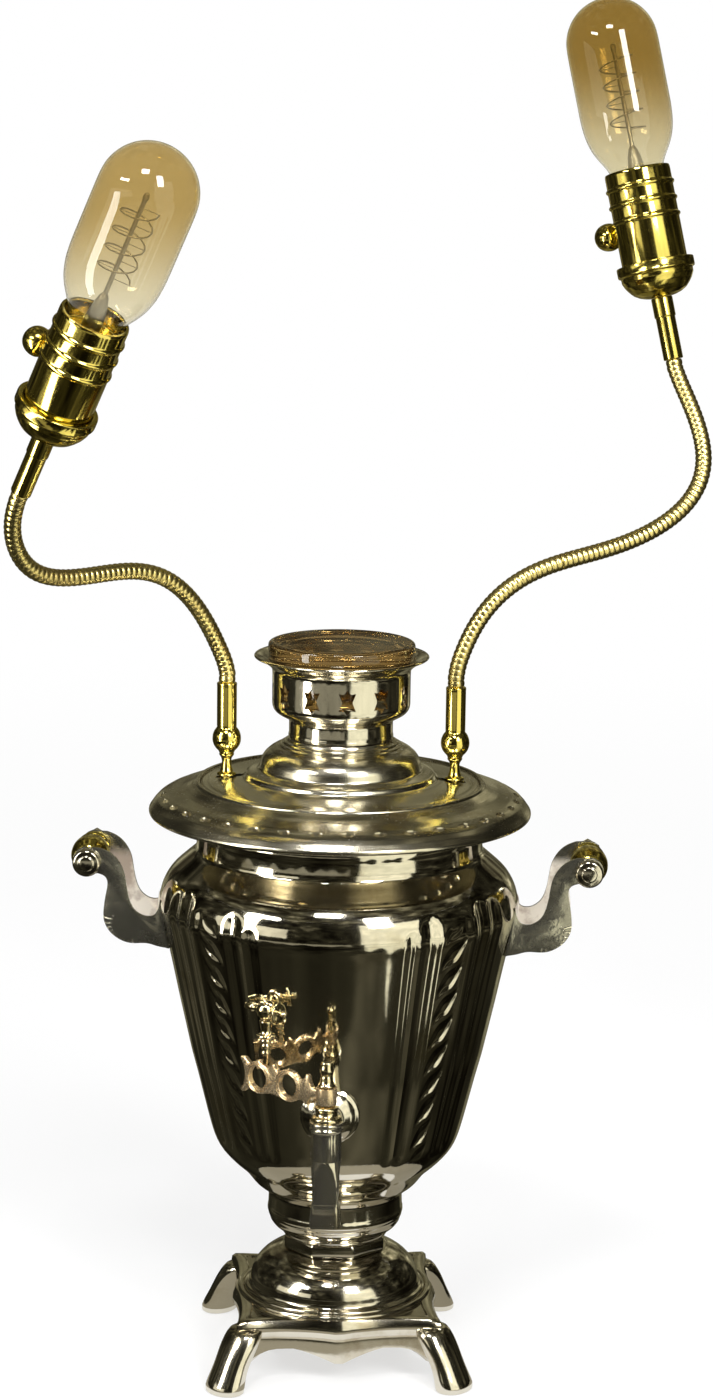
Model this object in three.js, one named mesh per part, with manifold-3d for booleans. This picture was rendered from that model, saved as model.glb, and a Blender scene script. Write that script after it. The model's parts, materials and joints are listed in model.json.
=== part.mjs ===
// Electric samovar made into a table lamp with two bending arms, in millimetres, +Z up.
import * as THREE from 'three';
import { mergeVertices } from 'three/addons/utils/BufferGeometryUtils.js';
import Module from 'manifold-3d';

const wasm = await Module();
wasm.setup();

// Fits and overruns shared by the whole part
const seatGap = 0.3;
const slideGap = 0.4;
const cutOverrun = 2;

// Facets of large, middle, small and thin round pieces
const largeFacets = 24;
const middleFacets = 14;
const smallFacets = 10;
const thinFacets = 8;
const hexSides = 6;
const octagonSides = 8;

// Foot casting
const baseTurn = THREE.MathUtils.degToRad(5.8);
const plateTop = 33;
const plateHalf = 50;
const plateThickness = 4;
const plateDip = 3.2;
const bandBulge = 1.8;
const bandHeight = 8;
const skirtInset = 1.6;
const skirtDrop = 14;
const cuspDrop = 6;
const skirtWall = 3;
const toeReach = 79;
const toeWidth = 21.5;
const toeDepth = 17;
const legWidth = 14;
const legRoot = 63;

// Cord bush at the back of the foot
const bushRadius = 3.6;
const bushBore = 2.4;
const bushFlange = 4.6;
const bushFlangeThickness = 1.2;

// Pedestal: bell, eight-sided waist and drum
const bellRadius = 45;
const bellHeight = 21.7;
const bellWall = 2;
const waistCorner = 26.6;
const waistHeight = 7;
const drumRadius = 33.6;
const drumHeight = 21.3;
const drumWall = 2;

// Tie rod through the pedestal, and its nuts
const rodRadius = 4;
const rodHole = rodRadius + seatGap;
const nutThickness = 5;
const nutRadius = 8;
const rodEnd = 3;

// Body
const bodyRadius = 88;
const bodyHeight = 202.5;
const bodyWall = 1.6;
const neckRadius = 69.7;

// Heater
const heaterRadius = 24;
const heaterTube = 3.5;
const heaterLift = 13;
const heaterPostRadius = 3;
const heaterPostDrop = 8;

// Brim with its rolled edge and punched holes
const brimRadius = 93;
const brimDrop = 15;
const brimWall = 1.6;
const lipWidth = 2.2;
const lipHeight = 3.4;
const ledgeWidth = 4.3;
const brimHoles = 36;
const brimHoleReach = 86;
const brimHoleLength = 7;
const brimHoleWidth = 3;

// Lid
const lidHeight = 24.4;
const lidWall = 1.6;
const lidSlotLength = 14.4;
const lidSlotWidth = 6;
const lidSlotShift = 2;

// Crown on the lid, its bolt, and the amber glass in it
const crownHeight = 39;
const crownNeckRadius = 25.2;
const crownWallRadius = 33.5;
const crownRimRadius = 42.5;
const crownWall = 1.5;
const flareHeight = 7.6;
const starCount = 12;
const starWidth = 8.4;
const starHeight = 12.6;
const starMiddle = 22.8;
const discRadius = 35.6;
const discThickness = 11.5;
const discSkirtRadius = 30.5;
const discSkirtWall = 4.5;
const discSkirtDrop = 13;
const crownBoltHead = 4;

// Tap
const tapHeight = 144;
const tapReach = 104.5;
const tapBarrelRadius = 6.6;
const tapShankRadius = 6;
const tapShankEnd = 56;
const escutcheonRadius = 14.3;
const escutcheonDepth = 7;
const seatRadius = 8;
const seatHeight = 18.5;
const plugBore = 5.2;
const waterway = 3.6;
const spoutTop = 15.4;
const spoutNeck = 13.4;
const spoutCuff = 14.8;
const spoutDrop = 32;
const spoutBore = 4.2;
const gasketRadius = 10.5;
const gasketThickness = 2.5;
const lockNutRadius = 11;
const lockNutThickness = 4;

// Tap key
const plugRadius = plugBore - seatGap;
const plugHeight = 44.7;
const plugFlange = 7.2;
const keyClearance = 0.75;
const keyThickness = 3;
const keyHeight = 17;
const keyLength = 54;
const keyHole = 12.4;
const hubRadius = 5.9;
const hubBore = 4.1;
const hubHeight = 8;
const postReach = 38;
const postRadius = 3.3;
const postHeight = 21;
const knobBall = 4.8;
const knobArm = 13;

// Handles
const gripStand = 33.5;
const gripDrop = 33.7;
const gripRadius = 9.4;
const gripLength = 32;
const plateSpacing = 35;
const bracketPlate = 2.2;
const bracketDrop = 43;
const bracketWidth = 36;
const bossRadius = 7;
const webWall = 2.4;
const webTop = 19;
const boltRadius = 2.5;
const capRadius = 6.8;
const capLength = 6.5;

// Nipples on the lid and the arms that stand on them
const stemReach = 55.5;
const nippleHeight = 10.6;
const nippleFlange = 4.7;
const nippleThread = 2.3;
const nippleThreadDrop = 9;
const spigotHeight = 8;
const ballRadius = 7;
const armFootHeight = 34.8;
const ferruleRadius = 4.85;
const wireBore = 2.7;
const hoseRadius = 4.1;
const hoseRoot = 3.7;
const hoseBore = 2.1;
const ribPitch = 6;

// Lamp heads
const upperFerruleLength = 31;
const collarRadius = 5.3;
const collarLength = 10;
const capHeight = 17.4;
const capRingRadius = 19.3;
const capWall = 1.2;
const shellRadius = 16.3;
const shellLength = 53.8;
const shellWall = 1;
const shellNest = 7.5;
const beadHeight = 0.9;
const coreWall = 1.5;
const coreInset = 8;
const coreFloor = 4;
const knobRadius = 7;
const knobLift = 25.3;
const knobTurn = THREE.MathUtils.degToRad(145);
const knobStem = 2.2;

// Bulbs
const bulbRadius = 23;
const bulbLength = 94.2;
const bulbNeck = 12.6;
const glassWall = 1;
const screwRadius = 13;
const screwLength = 25;
const screwInset = 7;
const contactRadius = 5;
const mountRadius = 1.2;
const supportLength = 12;
const supportThickness = 0.8;
const supportCount = 3;

// Finishes
const nickel = { color: 0xa39c8c, roughness: 0.16, metalness: 1 };
const steel = { color: 0x8c8a86, roughness: 0.35, metalness: 1 };
const brass = { color: 0xc8a23c, roughness: 0.18, metalness: 1 };
const rosyBrass = { color: 0xc79a62, roughness: 0.3, metalness: 1 };
const amber = { color: 0x7a4a0c, roughness: 0.1, metalness: 0, transparent: true, opacity: 0.7 };
const smokyGlass = { color: 0xb8a888, roughness: 0.05, metalness: 0, transparent: true, opacity: 0.4 };
const rubber = { color: 0x1d1c1b, roughness: 0.8, metalness: 0 };
const porcelain = { color: 0xe6e0d4, roughness: 0.4, metalness: 0 };

// Heights of the stacked pieces, from the floor up
const bellBase = plateTop + seatGap;
const waistBase = bellBase + bellHeight + seatGap;
const drumBase = waistBase + waistHeight + seatGap;
const bodyBase = drumBase + drumHeight + seatGap;
const bodyTop = bodyBase + bodyHeight;
const gripHeight = bodyTop - gripDrop;
const gripReach = bodyRadius + gripStand;
const brimBase = bodyTop + seatGap;
const ledgeTop = brimBase + brimWall;
const lidBase = ledgeTop + seatGap;
const lidTop = lidBase + lidHeight;
const crownBase = lidTop + seatGap;
const crownTop = crownBase + crownHeight;
const lipInner = neckRadius - bodyWall + seatGap;
const lidRadius = lipInner - slideGap;

const up = new THREE.Vector3(0, 0, 1);

// Cleans a geometry into a closed solid with its faces pointing out
function solidOf(geometry) {
  const bare = geometry.clone();
  bare.deleteAttribute('normal');
  bare.deleteAttribute('uv');
  const merged = mergeVertices(bare.index ? bare : mergeVertices(bare), seatGap / 100);
  const corners = [];
  const index = merged.index.array;
  for (let i = 0; i < index.length; i += 3) {
    const [a, b, c] = [index[i], index[i + 1], index[i + 2]];
    if (a !== b && b !== c && c !== a) corners.push(a, b, c);
  }
  const points = merged.attributes.position.array;
  if (signedVolume(points, corners) < 0) corners.reverse();
  const mesh = new wasm.Mesh({
    numProp: 3,
    vertProperties: new Float32Array(points),
    triVerts: new Uint32Array(corners),
  });
  return new wasm.Manifold(mesh);
}

function signedVolume(points, corners) {
  const [a, b, c] = [new THREE.Vector3(), new THREE.Vector3(), new THREE.Vector3()];
  let sum = 0;
  for (let i = 0; i < corners.length; i += 3) {
    a.fromArray(points, corners[i] * 3);
    b.fromArray(points, corners[i + 1] * 3);
    c.fromArray(points, corners[i + 2] * 3);
    sum += a.dot(b.cross(c));
  }
  return sum;
}

function geometryOf(solid) {
  const mesh = solid.getMesh();
  const geometry = new THREE.BufferGeometry();
  geometry.setAttribute('position', new THREE.BufferAttribute(new Float32Array(mesh.vertProperties), 3));
  geometry.setIndex(new THREE.BufferAttribute(new Uint32Array(mesh.triVerts), 1));
  return geometry;
}

function meshOf(name, solid, finish) {
  const mesh = new THREE.Mesh(geometryOf(solid), new THREE.MeshStandardMaterial(finish));
  mesh.name = name;
  return mesh;
}

// Turns a profile of [radius, height] pairs about the vertical axis
function turned(profile, facets) {
  const points = profile.map(([radius, height]) => new THREE.Vector2(radius, height));
  const geometry = new THREE.LatheGeometry(points, facets);
  return solidOf(geometry.rotateX(Math.PI / 2));
}

function closedRing(profile, facets) {
  return turned([...profile, profile[0]], facets);
}

// Gives a profile a wall on its left side, with mitred corners and as many inner points as wanted
function walled(profile, wall, dropped = []) {
  const kept = profile.filter((_, i) => !dropped.includes(i));
  return [...profile, ...offset(kept, wall).reverse()];
}

function offset(profile, distance) {
  const last = profile.length - 1;
  return profile.map((point, i) => {
    const first = i > 0 ? unitLeft(profile[i - 1], point) : unitLeft(point, profile[1]);
    const second = i < last ? unitLeft(point, profile[i + 1]) : first;
    const sum = [first[0] + second[0], first[1] + second[1]];
    const scale = distance * 2 / (sum[0] ** 2 + sum[1] ** 2);
    return [point[0] + sum[0] * scale, point[1] + sum[1] * scale];
  });
}

function unitLeft(from, to) {
  const [dr, dz] = [to[0] - from[0], to[1] - from[1]];
  const length = Math.hypot(dr, dz);
  return [-dz / length, dr / length];
}

function rod(radius, low, high, facets) {
  return turned([[0, low], [radius, low], [radius, high], [0, high]], facets);
}

function tube(outer, inner, low, high, facets) {
  return closedRing([[inner, low], [outer, low], [outer, high], [inner, high]], facets);
}

// Hexagonal nut with a round hole
function nut(radius, hole, low, high) {
  return rod(radius, low, high, hexSides).subtract(rod(hole, low - cutOverrun, high + cutOverrun, smallFacets));
}

function block(low, high) {
  const size = new THREE.Vector3().subVectors(high, low);
  const middle = new THREE.Vector3().addVectors(low, high).divideScalar(2);
  const geometry = new THREE.BoxGeometry(size.x, size.y, size.z);
  return solidOf(geometry.translate(middle.x, middle.y, middle.z));
}

function moved(solid, x, y, z) {
  return solid.translate([x, y, z]);
}

function spun(solid, angle) {
  return solid.rotate([0, 0, THREE.MathUtils.radToDeg(angle)]);
}

// Points a solid's own vertical axis along world -Y or along +Y
function laid(solid, towardsFront) {
  return solid.rotate([towardsFront ? 90 : -90, 0, 0]);
}

// Joins rings of points into a closed skin, with flat ends
function skinOf(rings) {
  const count = rings[0].length;
  const points = rings.flat().flatMap((p) => [p.x, p.y, p.z]);
  const corners = [];
  for (let r = 0; r < rings.length - 1; r += 1) {
    for (let i = 0; i < count; i += 1) {
      const [a, b] = [r * count + i, r * count + (i + 1) % count];
      corners.push(a, b, b + count, a, b + count, a + count);
    }
  }
  const last = (rings.length - 1) * count;
  for (let i = 1; i < count - 1; i += 1) {
    corners.push(0, i + 1, i, last, last + i, last + i + 1);
  }
  return rawSolid(points, corners);
}

function rawSolid(points, corners) {
  const geometry = new THREE.BufferGeometry();
  geometry.setAttribute('position', new THREE.Float32BufferAttribute(points, 3));
  geometry.setIndex(corners);
  return solidOf(geometry);
}

// The outline of the foot plate: each side has a point in the middle and dips beside it
const sideStepShares = [-1, -0.84, -0.56, -0.3, -0.12, 0, 0.12, 0.3, 0.56, 0.84];
const sideDipShares = [1.5, 0.6, 1, 0.8, 0.3, 0, 0.3, 0.8, 1, 0.6];
const skirtLiftShares = [-0.9, -0.1, 0.08, 0, -0.45, -1, -0.45, 0, 0.08, -0.1];

function plateOutline() {
  const outline = [];
  for (let side = 0; side < 4; side += 1) {
    sideStepShares.forEach((share, i) => {
      const point = new THREE.Vector2(share * plateHalf, -plateHalf + sideDipShares[i] * plateDip);
      const lift = skirtLiftShares[i] * cuspDrop;
      outline.push({ point: point.rotateAround(new THREE.Vector2(), side * Math.PI / 2), lift });
    });
  }
  return outline;
}

function footSkirt() {
  const bandLow = plateTop - bandHeight;
  const skirtLow = plateTop - skirtDrop;
  const plateLow = plateTop - plateThickness;
  const edge = plateHalf - skirtInset - skirtWall;
  const rows = [
    [-1, plateTop, 0], [plateHalf - bandBulge, plateTop, 0], [plateHalf, plateTop - bandBulge / 2, 0],
    [plateHalf + bandBulge, plateTop - bandHeight / 2, 0], [plateHalf, bandLow, 0],
    [plateHalf - skirtInset, bandLow - skirtInset, 0], [plateHalf - skirtInset, skirtLow, 1],
    [edge, skirtLow, 1], [edge, plateLow, 0], [-1, plateLow, 0],
  ];
  const outline = plateOutline();
  const points = [];
  const corners = [];
  outline.forEach(({ point, lift }) => {
    rows.forEach(([reach, height, follows]) => {
      const scale = reach < 0 ? rodHole / point.length() : reach / plateHalf;
      points.push(point.x * scale, point.y * scale, height + lift * follows);
    });
  });
  for (let c = 0; c < outline.length; c += 1) {
    const next = (c + 1) % outline.length;
    for (let r = 0; r < rows.length; r += 1) {
      const below = (r + 1) % rows.length;
      const [a, b] = [c * rows.length + r, next * rows.length + r];
      const [d, e] = [c * rows.length + below, next * rows.length + below];
      corners.push(a, b, e, a, e, d);
    }
  }
  return rawSolid(points, corners);
}

// Leg: [height, place from root to toe, width, depth] as shares
const legShares = [
  [0.82, 0, 1.2, 0.94], [0.58, 0.34, 1.3, 0.88], [0.34, 0.68, 1.2, 0.82], [0.14, 0.92, 1.46, 0.96],
  [0.03, 1, 1.53, 1], [0, 1, 1.38, 0.9],
];

function leg() {
  const rings = legShares.map(([heightShare, placeShare, widthShare, depthShare]) => {
    const reach = legRoot + placeShare * (toeReach - legRoot);
    const half = [depthShare * toeDepth / 2, widthShare * (legWidth / 2)];
    return ringOf(thinFacets, (angle) => new THREE.Vector3(
      reach + half[0] * Math.cos(angle), half[1] * Math.sin(angle), heightShare * plateTop,
    ));
  });
  return skinOf(rings);
}

function ringOf(count, place) {
  return Array.from({ length: count }, (_, i) => place(i * 2 * Math.PI / count));
}

function footCasting() {
  let solid = footSkirt();
  for (let corner = 0; corner < 4; corner += 1) {
    solid = solid.add(spun(leg(), Math.PI / 4 + corner * Math.PI / 2));
  }
  const hole = moved(laid(rod(bushRadius + seatGap, 0, plateHalf + cutOverrun, smallFacets), false), 0, 0, bushHeight);
  return meshOf('foot_casting', spun(solid.subtract(hole), baseTurn), nickel);
}

const bushHeight = plateTop - bandHeight - skirtInset - seatGap - bushFlange;

function cordBush() {
  const face = plateHalf - skirtInset + seatGap;
  const inner = face - skirtWall - bushFlangeThickness;
  const profile = [
    [bushBore, inner], [bushRadius, inner], [bushRadius, face],
    [bushFlange, face], [bushFlange, face + bushFlangeThickness], [bushBore, face + bushFlangeThickness],
  ];
  const solid = moved(laid(closedRing(profile, smallFacets), false), 0, 0, bushHeight);
  return meshOf('cord_bush', spun(solid, baseTurn), rubber);
}

// Pedestal profiles as shares of radius and height
const bellShares = [[1, 0], [1, 0.09], [0.93, 0.17], [0.92, 0.35], [0.84, 0.66], [0.67, 0.9], [0.57, 1]];
const drumShares = [[0.78, 0], [0.82, 0.14], [0.97, 0.36], [1, 0.56], [1, 1]];

function pedestalBell() {
  const skin = bellShares.map(([r, h]) => [r * bellRadius, bellBase + h * bellHeight]);
  const profile = walled([...skin, [rodHole, bellBase + bellHeight]], bellWall, [3, 5]);
  return meshOf('pedestal_bell', closedRing(profile, largeFacets), nickel);
}

function waistNut() {
  const top = waistBase + waistHeight;
  const edge = waistHeight / octagonSides;
  const profile = [
    [0, waistBase], [waistCorner - edge, waistBase], [waistCorner, waistBase + edge],
    [waistCorner, top - edge], [waistCorner - edge, top], [0, top],
  ];
  const solid = spun(turned(profile, octagonSides), Math.PI / octagonSides);
  const hole = rod(rodHole, waistBase - cutOverrun, top + cutOverrun, smallFacets);
  return meshOf('waist_nut', solid.subtract(hole), nickel);
}

function collarDrum() {
  const skin = drumShares.map(([r, h]) => [r * drumRadius, drumBase + h * drumHeight]);
  const profile = walled([[rodHole, drumBase], ...skin], drumWall, [2]);
  return meshOf('collar_drum', closedRing(profile, largeFacets), nickel);
}

function tieRod() {
  const low = plateTop - plateThickness - seatGap - nutThickness - rodEnd;
  const high = bodyBase + bodyWall + seatGap + nutThickness + rodEnd;
  return meshOf('tie_rod', rod(rodRadius, low, high, smallFacets), steel);
}

function rodNut(name, low) {
  return meshOf(name, nut(nutRadius, rodHole, low, low + nutThickness), steel);
}

// Body outline: bowl and wall between drum and greatest width, then the shoulder in to the neck
const wallShares = [
  [0, 0], [0.13, 0.03], [0.346, 0.091], [0.5, 0.153], [0.645, 0.306], [0.81, 0.49], [0.95, 0.665], [1, 0.728],
];
const shoulderShares = [[0.86, 0.78], [0.7, 0.803], [0.2, 0.84], [0, 0.863], [0, 1]];

function bodyOutline() {
  const wall = wallShares.map(([r, h]) => [drumRadius + r * (bodyRadius - drumRadius), bodyBase + h * bodyHeight]);
  const neck = shoulderShares.map(([r, h]) => [neckRadius + r * (bodyRadius - neckRadius), bodyBase + h * bodyHeight]);
  return [...wall, ...neck];
}

// The space inside a skin that lies a set distance outside the body
function bodyEnvelope(distance) {
  const skin = offset(bodyOutline(), -distance);
  const [low, high] = [skin[0][1], skin[skin.length - 1][1]];
  return turned([[0, low], ...skin, [0, high]], largeFacets);
}

function bodyShell() {
  const profile = walled([[rodHole, bodyBase], ...bodyOutline()], bodyWall, [3, 5, 7, 9, 11]);
  let solid = closedRing(profile, largeFacets);
  for (const side of [-1, 1]) {
    const hole = rod(heaterPostRadius + seatGap, bodyBase - cutOverrun, bodyBase + bodyWall + cutOverrun, thinFacets);
    solid = solid.subtract(moved(hole, side * heaterRadius, 0, 0));
  }
  const tapHole = laid(rod(tapShankRadius + seatGap, 0, tapReach, smallFacets), true);
  solid = solid.subtract(moved(tapHole, 0, 0, tapHeight));
  return meshOf('body_shell', solid, nickel);
}

function heaterRing() {
  const height = bodyBase + bodyWall + heaterLift;
  const torus = solidOf(new THREE.TorusGeometry(heaterRadius, heaterTube, hexSides, middleFacets));
  let solid = moved(torus, 0, 0, height);
  for (const side of [-1, 1]) {
    const post = rod(heaterPostRadius, bodyBase - heaterPostDrop, height, thinFacets);
    solid = solid.add(moved(post, side * heaterRadius, 0, 0));
  }
  return meshOf('heater_ring', solid, steel);
}

// Brim: [place from lip to edge, fall from lip top] as shares
const brimShares = [[0.19, 0.22], [0.57, 0.4], [0.9, 0.68], [1, 0.97]];

function brimTray() {
  const lipOuter = lipInner + lipWidth;
  const lipTop = ledgeTop + lipHeight;
  const ledgeInner = lipInner - ledgeWidth;
  const slope = brimShares.map(([r, h]) => [lipOuter + r * (brimRadius - lipOuter), lipTop - h * brimDrop]);
  const under = slope.map(([r, h]) => [r - brimWall / 3, h - brimWall]).reverse();
  const profile = [
    [ledgeInner, brimBase], [ledgeInner, ledgeTop], [lipInner, ledgeTop], [lipInner, lipTop],
    [lipOuter, lipTop], ...slope, ...under, [lipOuter, brimBase],
  ];
  let solid = spun(closedRing(profile, largeFacets), Math.PI / largeFacets);
  const half = [brimHoleWidth / 2, brimHoleLength / 2];
  for (let i = 0; i < brimHoles; i += 1) {
    const cut = lozenge(half[0], half[1], brimBase - brimDrop, lipTop);
    solid = solid.subtract(spun(moved(cut, brimHoleReach, 0, 0), (i + 0.5) * 2 * Math.PI / brimHoles));
  }
  return meshOf('brim_tray', solid, nickel);
}

function lozenge(halfX, halfY, low, high) {
  const shape = new THREE.Shape([
    new THREE.Vector2(halfX, 0), new THREE.Vector2(0, halfY), new THREE.Vector2(-halfX, 0), new THREE.Vector2(0, -halfY),
  ]);
  return prism(shape, low, high);
}

function prism(shape, low, high, curveSegments = thinFacets) {
  const geometry = new THREE.ExtrudeGeometry(shape, { depth: high - low, bevelEnabled: false, curveSegments });
  return moved(solidOf(geometry), 0, 0, low);
}

// Lid: [radius, height] as shares, from the edge in to the top
const lidShares = [
  [1, 0.07], [0.97, 0.11], [0.735, 0.175], [0.68, 0.22], [0.65, 0.34], [0.582, 0.38],
  [0.557, 0.595], [0.526, 0.73], [0.465, 0.85], [0.42, 0.94], [0.375, 1],
];

function lidOutline() {
  return lidShares.map(([r, h]) => [r * lidRadius, lidBase + h * lidHeight]);
}

function lidHeightAt(radius) {
  return heightAt(lidOutline(), radius);
}

function heightAt(outline, radius) {
  for (let i = 1; i < outline.length; i += 1) {
    const [[r1, z1], [r2, z2]] = [outline[i - 1], outline[i]];
    if ((r1 - radius) * (r2 - radius) <= 0 && r1 !== r2) return z1 + (z2 - z1) * (radius - r1) / (r2 - r1);
  }
  return outline[outline.length - 1][1];
}

function lidCover() {
  const profile = walled([...lidOutline(), [rodHole, lidTop]], lidWall, [7, 9]);
  let solid = spun(closedRing(profile, largeFacets), Math.PI / largeFacets);
  for (const side of [-1, 1]) {
    const slot = new THREE.Shape();
    const straight = (lidSlotLength - lidSlotWidth) / 2;
    slot.absarc(straight, 0, lidSlotWidth / 2, -Math.PI / 2, Math.PI / 2);
    slot.absarc(-straight, 0, lidSlotWidth / 2, Math.PI / 2, Math.PI * 3 / 2);
    const cut = prism(slot, lidBase - cutOverrun, lidTop, hexSides / 2);
    solid = solid.subtract(moved(cut, side * (stemReach - lidSlotShift), 0, 0));
  }
  return meshOf('lid_cover', solid, nickel);
}

// Crown outline, from the bolt hole out and up to the rim
function crownOutline() {
  const neckTop = crownBase + crownHeight * crownNeckShare;
  const wallLow = crownBase + crownHeight * crownWallShare;
  const wallTop = crownTop - flareHeight;
  return [
    [rodHole, crownBase], [crownNeckRadius, crownBase], [crownNeckRadius, neckTop],
    [crownWallRadius, wallLow], [crownWallRadius, wallTop], [crownRimRadius, crownTop],
  ];
}
const crownNeckShare = 0.2;
const crownWallShare = 0.36;

const starShares = [
  [0, 1], [0.42, 0.62], [1, 0.62], [0.6, 0], [1, -0.62], [0.42, -0.62],
  [0, -1], [-0.42, -0.62], [-1, -0.62], [-0.6, 0], [-1, 0.62], [-0.42, 0.62],
];

function crown() {
  let solid = closedRing(walled(crownOutline(), crownWall), largeFacets);
  const shape = new THREE.Shape(starShares.map(([x, y]) => new THREE.Vector2(x * starWidth / 2, y * starHeight / 2)));
  for (let i = 0; i < starCount; i += 1) {
    const cut = prism(shape, crownNeckRadius, crownWallRadius + cutOverrun).rotate([90, 0, 0]);
    solid = solid.subtract(spun(moved(cut, 0, 0, crownBase + starMiddle), (i + 0.25) * 2 * Math.PI / starCount));
  }
  return meshOf('crown', solid, nickel);
}

function crownBolt() {
  const headTop = lidTop - lidWall - seatGap;
  const nutTop = crownBase + crownWall + seatGap + nutThickness;
  const head = rod(nutRadius, headTop - crownBoltHead, headTop, hexSides);
  return meshOf('crown_bolt', head.add(rod(rodRadius, headTop - crownBoltHead, nutTop + rodEnd / 2, smallFacets)), steel);
}

// The flare's inner face carries the amber glass where their radii match
function discBase() {
  const slant = [crownRimRadius - crownWallRadius, flareHeight];
  const length = Math.hypot(...slant);
  const innerLow = [crownWallRadius - crownWall * slant[1] / length, crownTop - flareHeight + crownWall * slant[0] / length];
  return innerLow[1] + (discRadius - innerLow[0]) * slant[1] / slant[0] + seatGap;
}

function amberDisc() {
  const low = discBase();
  const high = low + discThickness;
  const bevel = discThickness / 10;
  const inner = discSkirtRadius - discSkirtWall;
  const profile = [
    [0, low], [inner, low], [inner, low - discSkirtDrop], [discSkirtRadius, low - discSkirtDrop],
    [discSkirtRadius, low], [discRadius, low], [discRadius, high - bevel], [discRadius - bevel, high], [0, high],
  ];
  return meshOf('amber_disc', turned(profile, largeFacets), amber);
}

// Tap: [height, width] as shares for the eight-sided spout below its seat
const spoutShares = [[0, 1], [0.28, 0.93], [0.52, 0.88]];

function tapBody() {
  const seatLow = tapHeight - seatHeight * seatLowShare;
  const seatTop = seatLow + seatHeight;
  const barrelFace = tapReach;
  const barrel = laid(rod(tapBarrelRadius, bodyRadiusAt(tapHeight), barrelFace, smallFacets), true);
  const shank = laid(rod(tapShankRadius, tapShankEnd, barrelFace, smallFacets), true);
  const seatProfile = [
    [0, seatLow], [seatRadius, seatLow], [seatRadius, seatTop - bracketPlate],
    [seatRadius + seatGap * 2, seatTop - bracketPlate], [seatRadius + seatGap * 2, seatTop], [0, seatTop],
  ];
  let solid = moved(barrel.add(shank), 0, 0, tapHeight);
  solid = solid.subtract(bodyEnvelope(seatGap).subtract(moved(shank, 0, 0, tapHeight)));
  solid = solid.add(moved(turned(seatProfile, middleFacets), 0, -tapReach, 0));
  solid = solid.add(moved(spout(seatLow), 0, -tapReach, 0));
  const bore = rod(plugBore, seatLow + cutOverrun, seatTop + cutOverrun, smallFacets);
  const outlet = rod(spoutBore, seatLow - spoutDrop, seatLow + cutOverrun * 2, thinFacets);
  solid = solid.subtract(moved(bore.add(outlet), 0, -tapReach, 0));
  const inlet = laid(rod(waterway, tapShankEnd - cutOverrun, tapReach, thinFacets), true);
  return meshOf('tap_body', solid.subtract(moved(inlet, 0, 0, tapHeight)), nickel);
}
const seatLowShare = 0.54;

function spout(top) {
  const low = top - spoutDrop;
  const corner = 1 / Math.cos(Math.PI / octagonSides);
  const profile = [[0, low], [spoutCuff / 2 * corner, low], [spoutCuff / 2 * corner, low + spoutDrop / 3]];
  for (const [heightShare, widthShare] of [...spoutShares].reverse()) {
    const width = spoutNeck + (spoutTop - spoutNeck) * (widthShare - 0.88) / 0.12;
    profile.push([width / 2 * corner, top - heightShare * spoutDrop]);
  }
  profile.push([0, top]);
  return spun(turned(profile, octagonSides), Math.PI / octagonSides);
}

function bodyRadiusAt(height) {
  return heightAt(bodyOutline().map(([r, z]) => [z, r]), height);
}

function tapEscutcheon() {
  const wall = bodyRadiusAt(tapHeight);
  const bore = tapBarrelRadius + seatGap;
  const face = wall + escutcheonDepth;
  const profile = [
    [bore, wall - escutcheonDepth], [escutcheonRadius, wall - escutcheonDepth],
    [escutcheonRadius, wall + escutcheonDepth * 0.3], [escutcheonRadius * 0.8, wall + escutcheonDepth * 0.75],
    [bore, face],
  ];
  const solid = moved(laid(closedRing(profile, middleFacets), true), 0, 0, tapHeight);
  return meshOf('tap_escutcheon', solid.subtract(bodyEnvelope(seatGap)), nickel);
}

function tapGasket() {
  const outer = bodyRadiusAt(tapHeight) - bodyWall;
  const low = lockNutFace() + seatGap;
  const solid = moved(laid(tube(gasketRadius, tapShankRadius + seatGap, low, outer, smallFacets), true), 0, 0, tapHeight);
  return meshOf('tap_gasket', solid.intersect(bodyEnvelope(-bodyWall - seatGap)), rubber);
}

// The lock nut clears the wall where the wall leans in below the tap
function lockNutFace() {
  return bodyRadiusAt(tapHeight - lockNutRadius) - bodyWall - gasketThickness;
}

function tapLockNut() {
  const high = lockNutFace();
  const ring = nut(lockNutRadius, tapShankRadius + seatGap, high - lockNutThickness, high);
  return meshOf('tap_lock_nut', moved(laid(ring, true), 0, 0, tapHeight), brass);
}

// Plug: [radius share of its flange, height share] from its tip up to the finial
const plugShares = [
  [1, 0], [1, 0.09], [0.6, 0.1], [0.6, 0.19], [0.82, 0.21], [0.82, 0.24], [0.5, 0.27],
  [0.5, 0.58], [0.66, 0.61], [0.38, 0.69], [0.34, 0.79], [0.5, 0.87], [0.2, 1],
];
const plugShoulderShare = 0.27;

function plugBase() {
  return tapHeight - seatHeight * seatLowShare + cutOverrun + seatGap;
}

function tapPlug() {
  const low = plugBase();
  const flangeLow = tapHeight + seatHeight * (1 - seatLowShare) + seatGap;
  const upper = plugShares.map(([r, h]) => [r * plugFlange, flangeLow + h * (plugTop() - flangeLow)]);
  const profile = [[0, low], [plugRadius, low], [plugRadius, flangeLow], ...upper, [0, plugTop()]];
  let solid = turned(profile, smallFacets);
  const way = laid(rod(waterway - seatGap, -plugBore, plugBore, thinFacets), true);
  solid = solid.subtract(moved(way, 0, 0, tapHeight));
  return meshOf('tap_plug', moved(solid, 0, -tapReach, 0), brass);
}

function plugTop() {
  return plugBase() + plugHeight;
}

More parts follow.
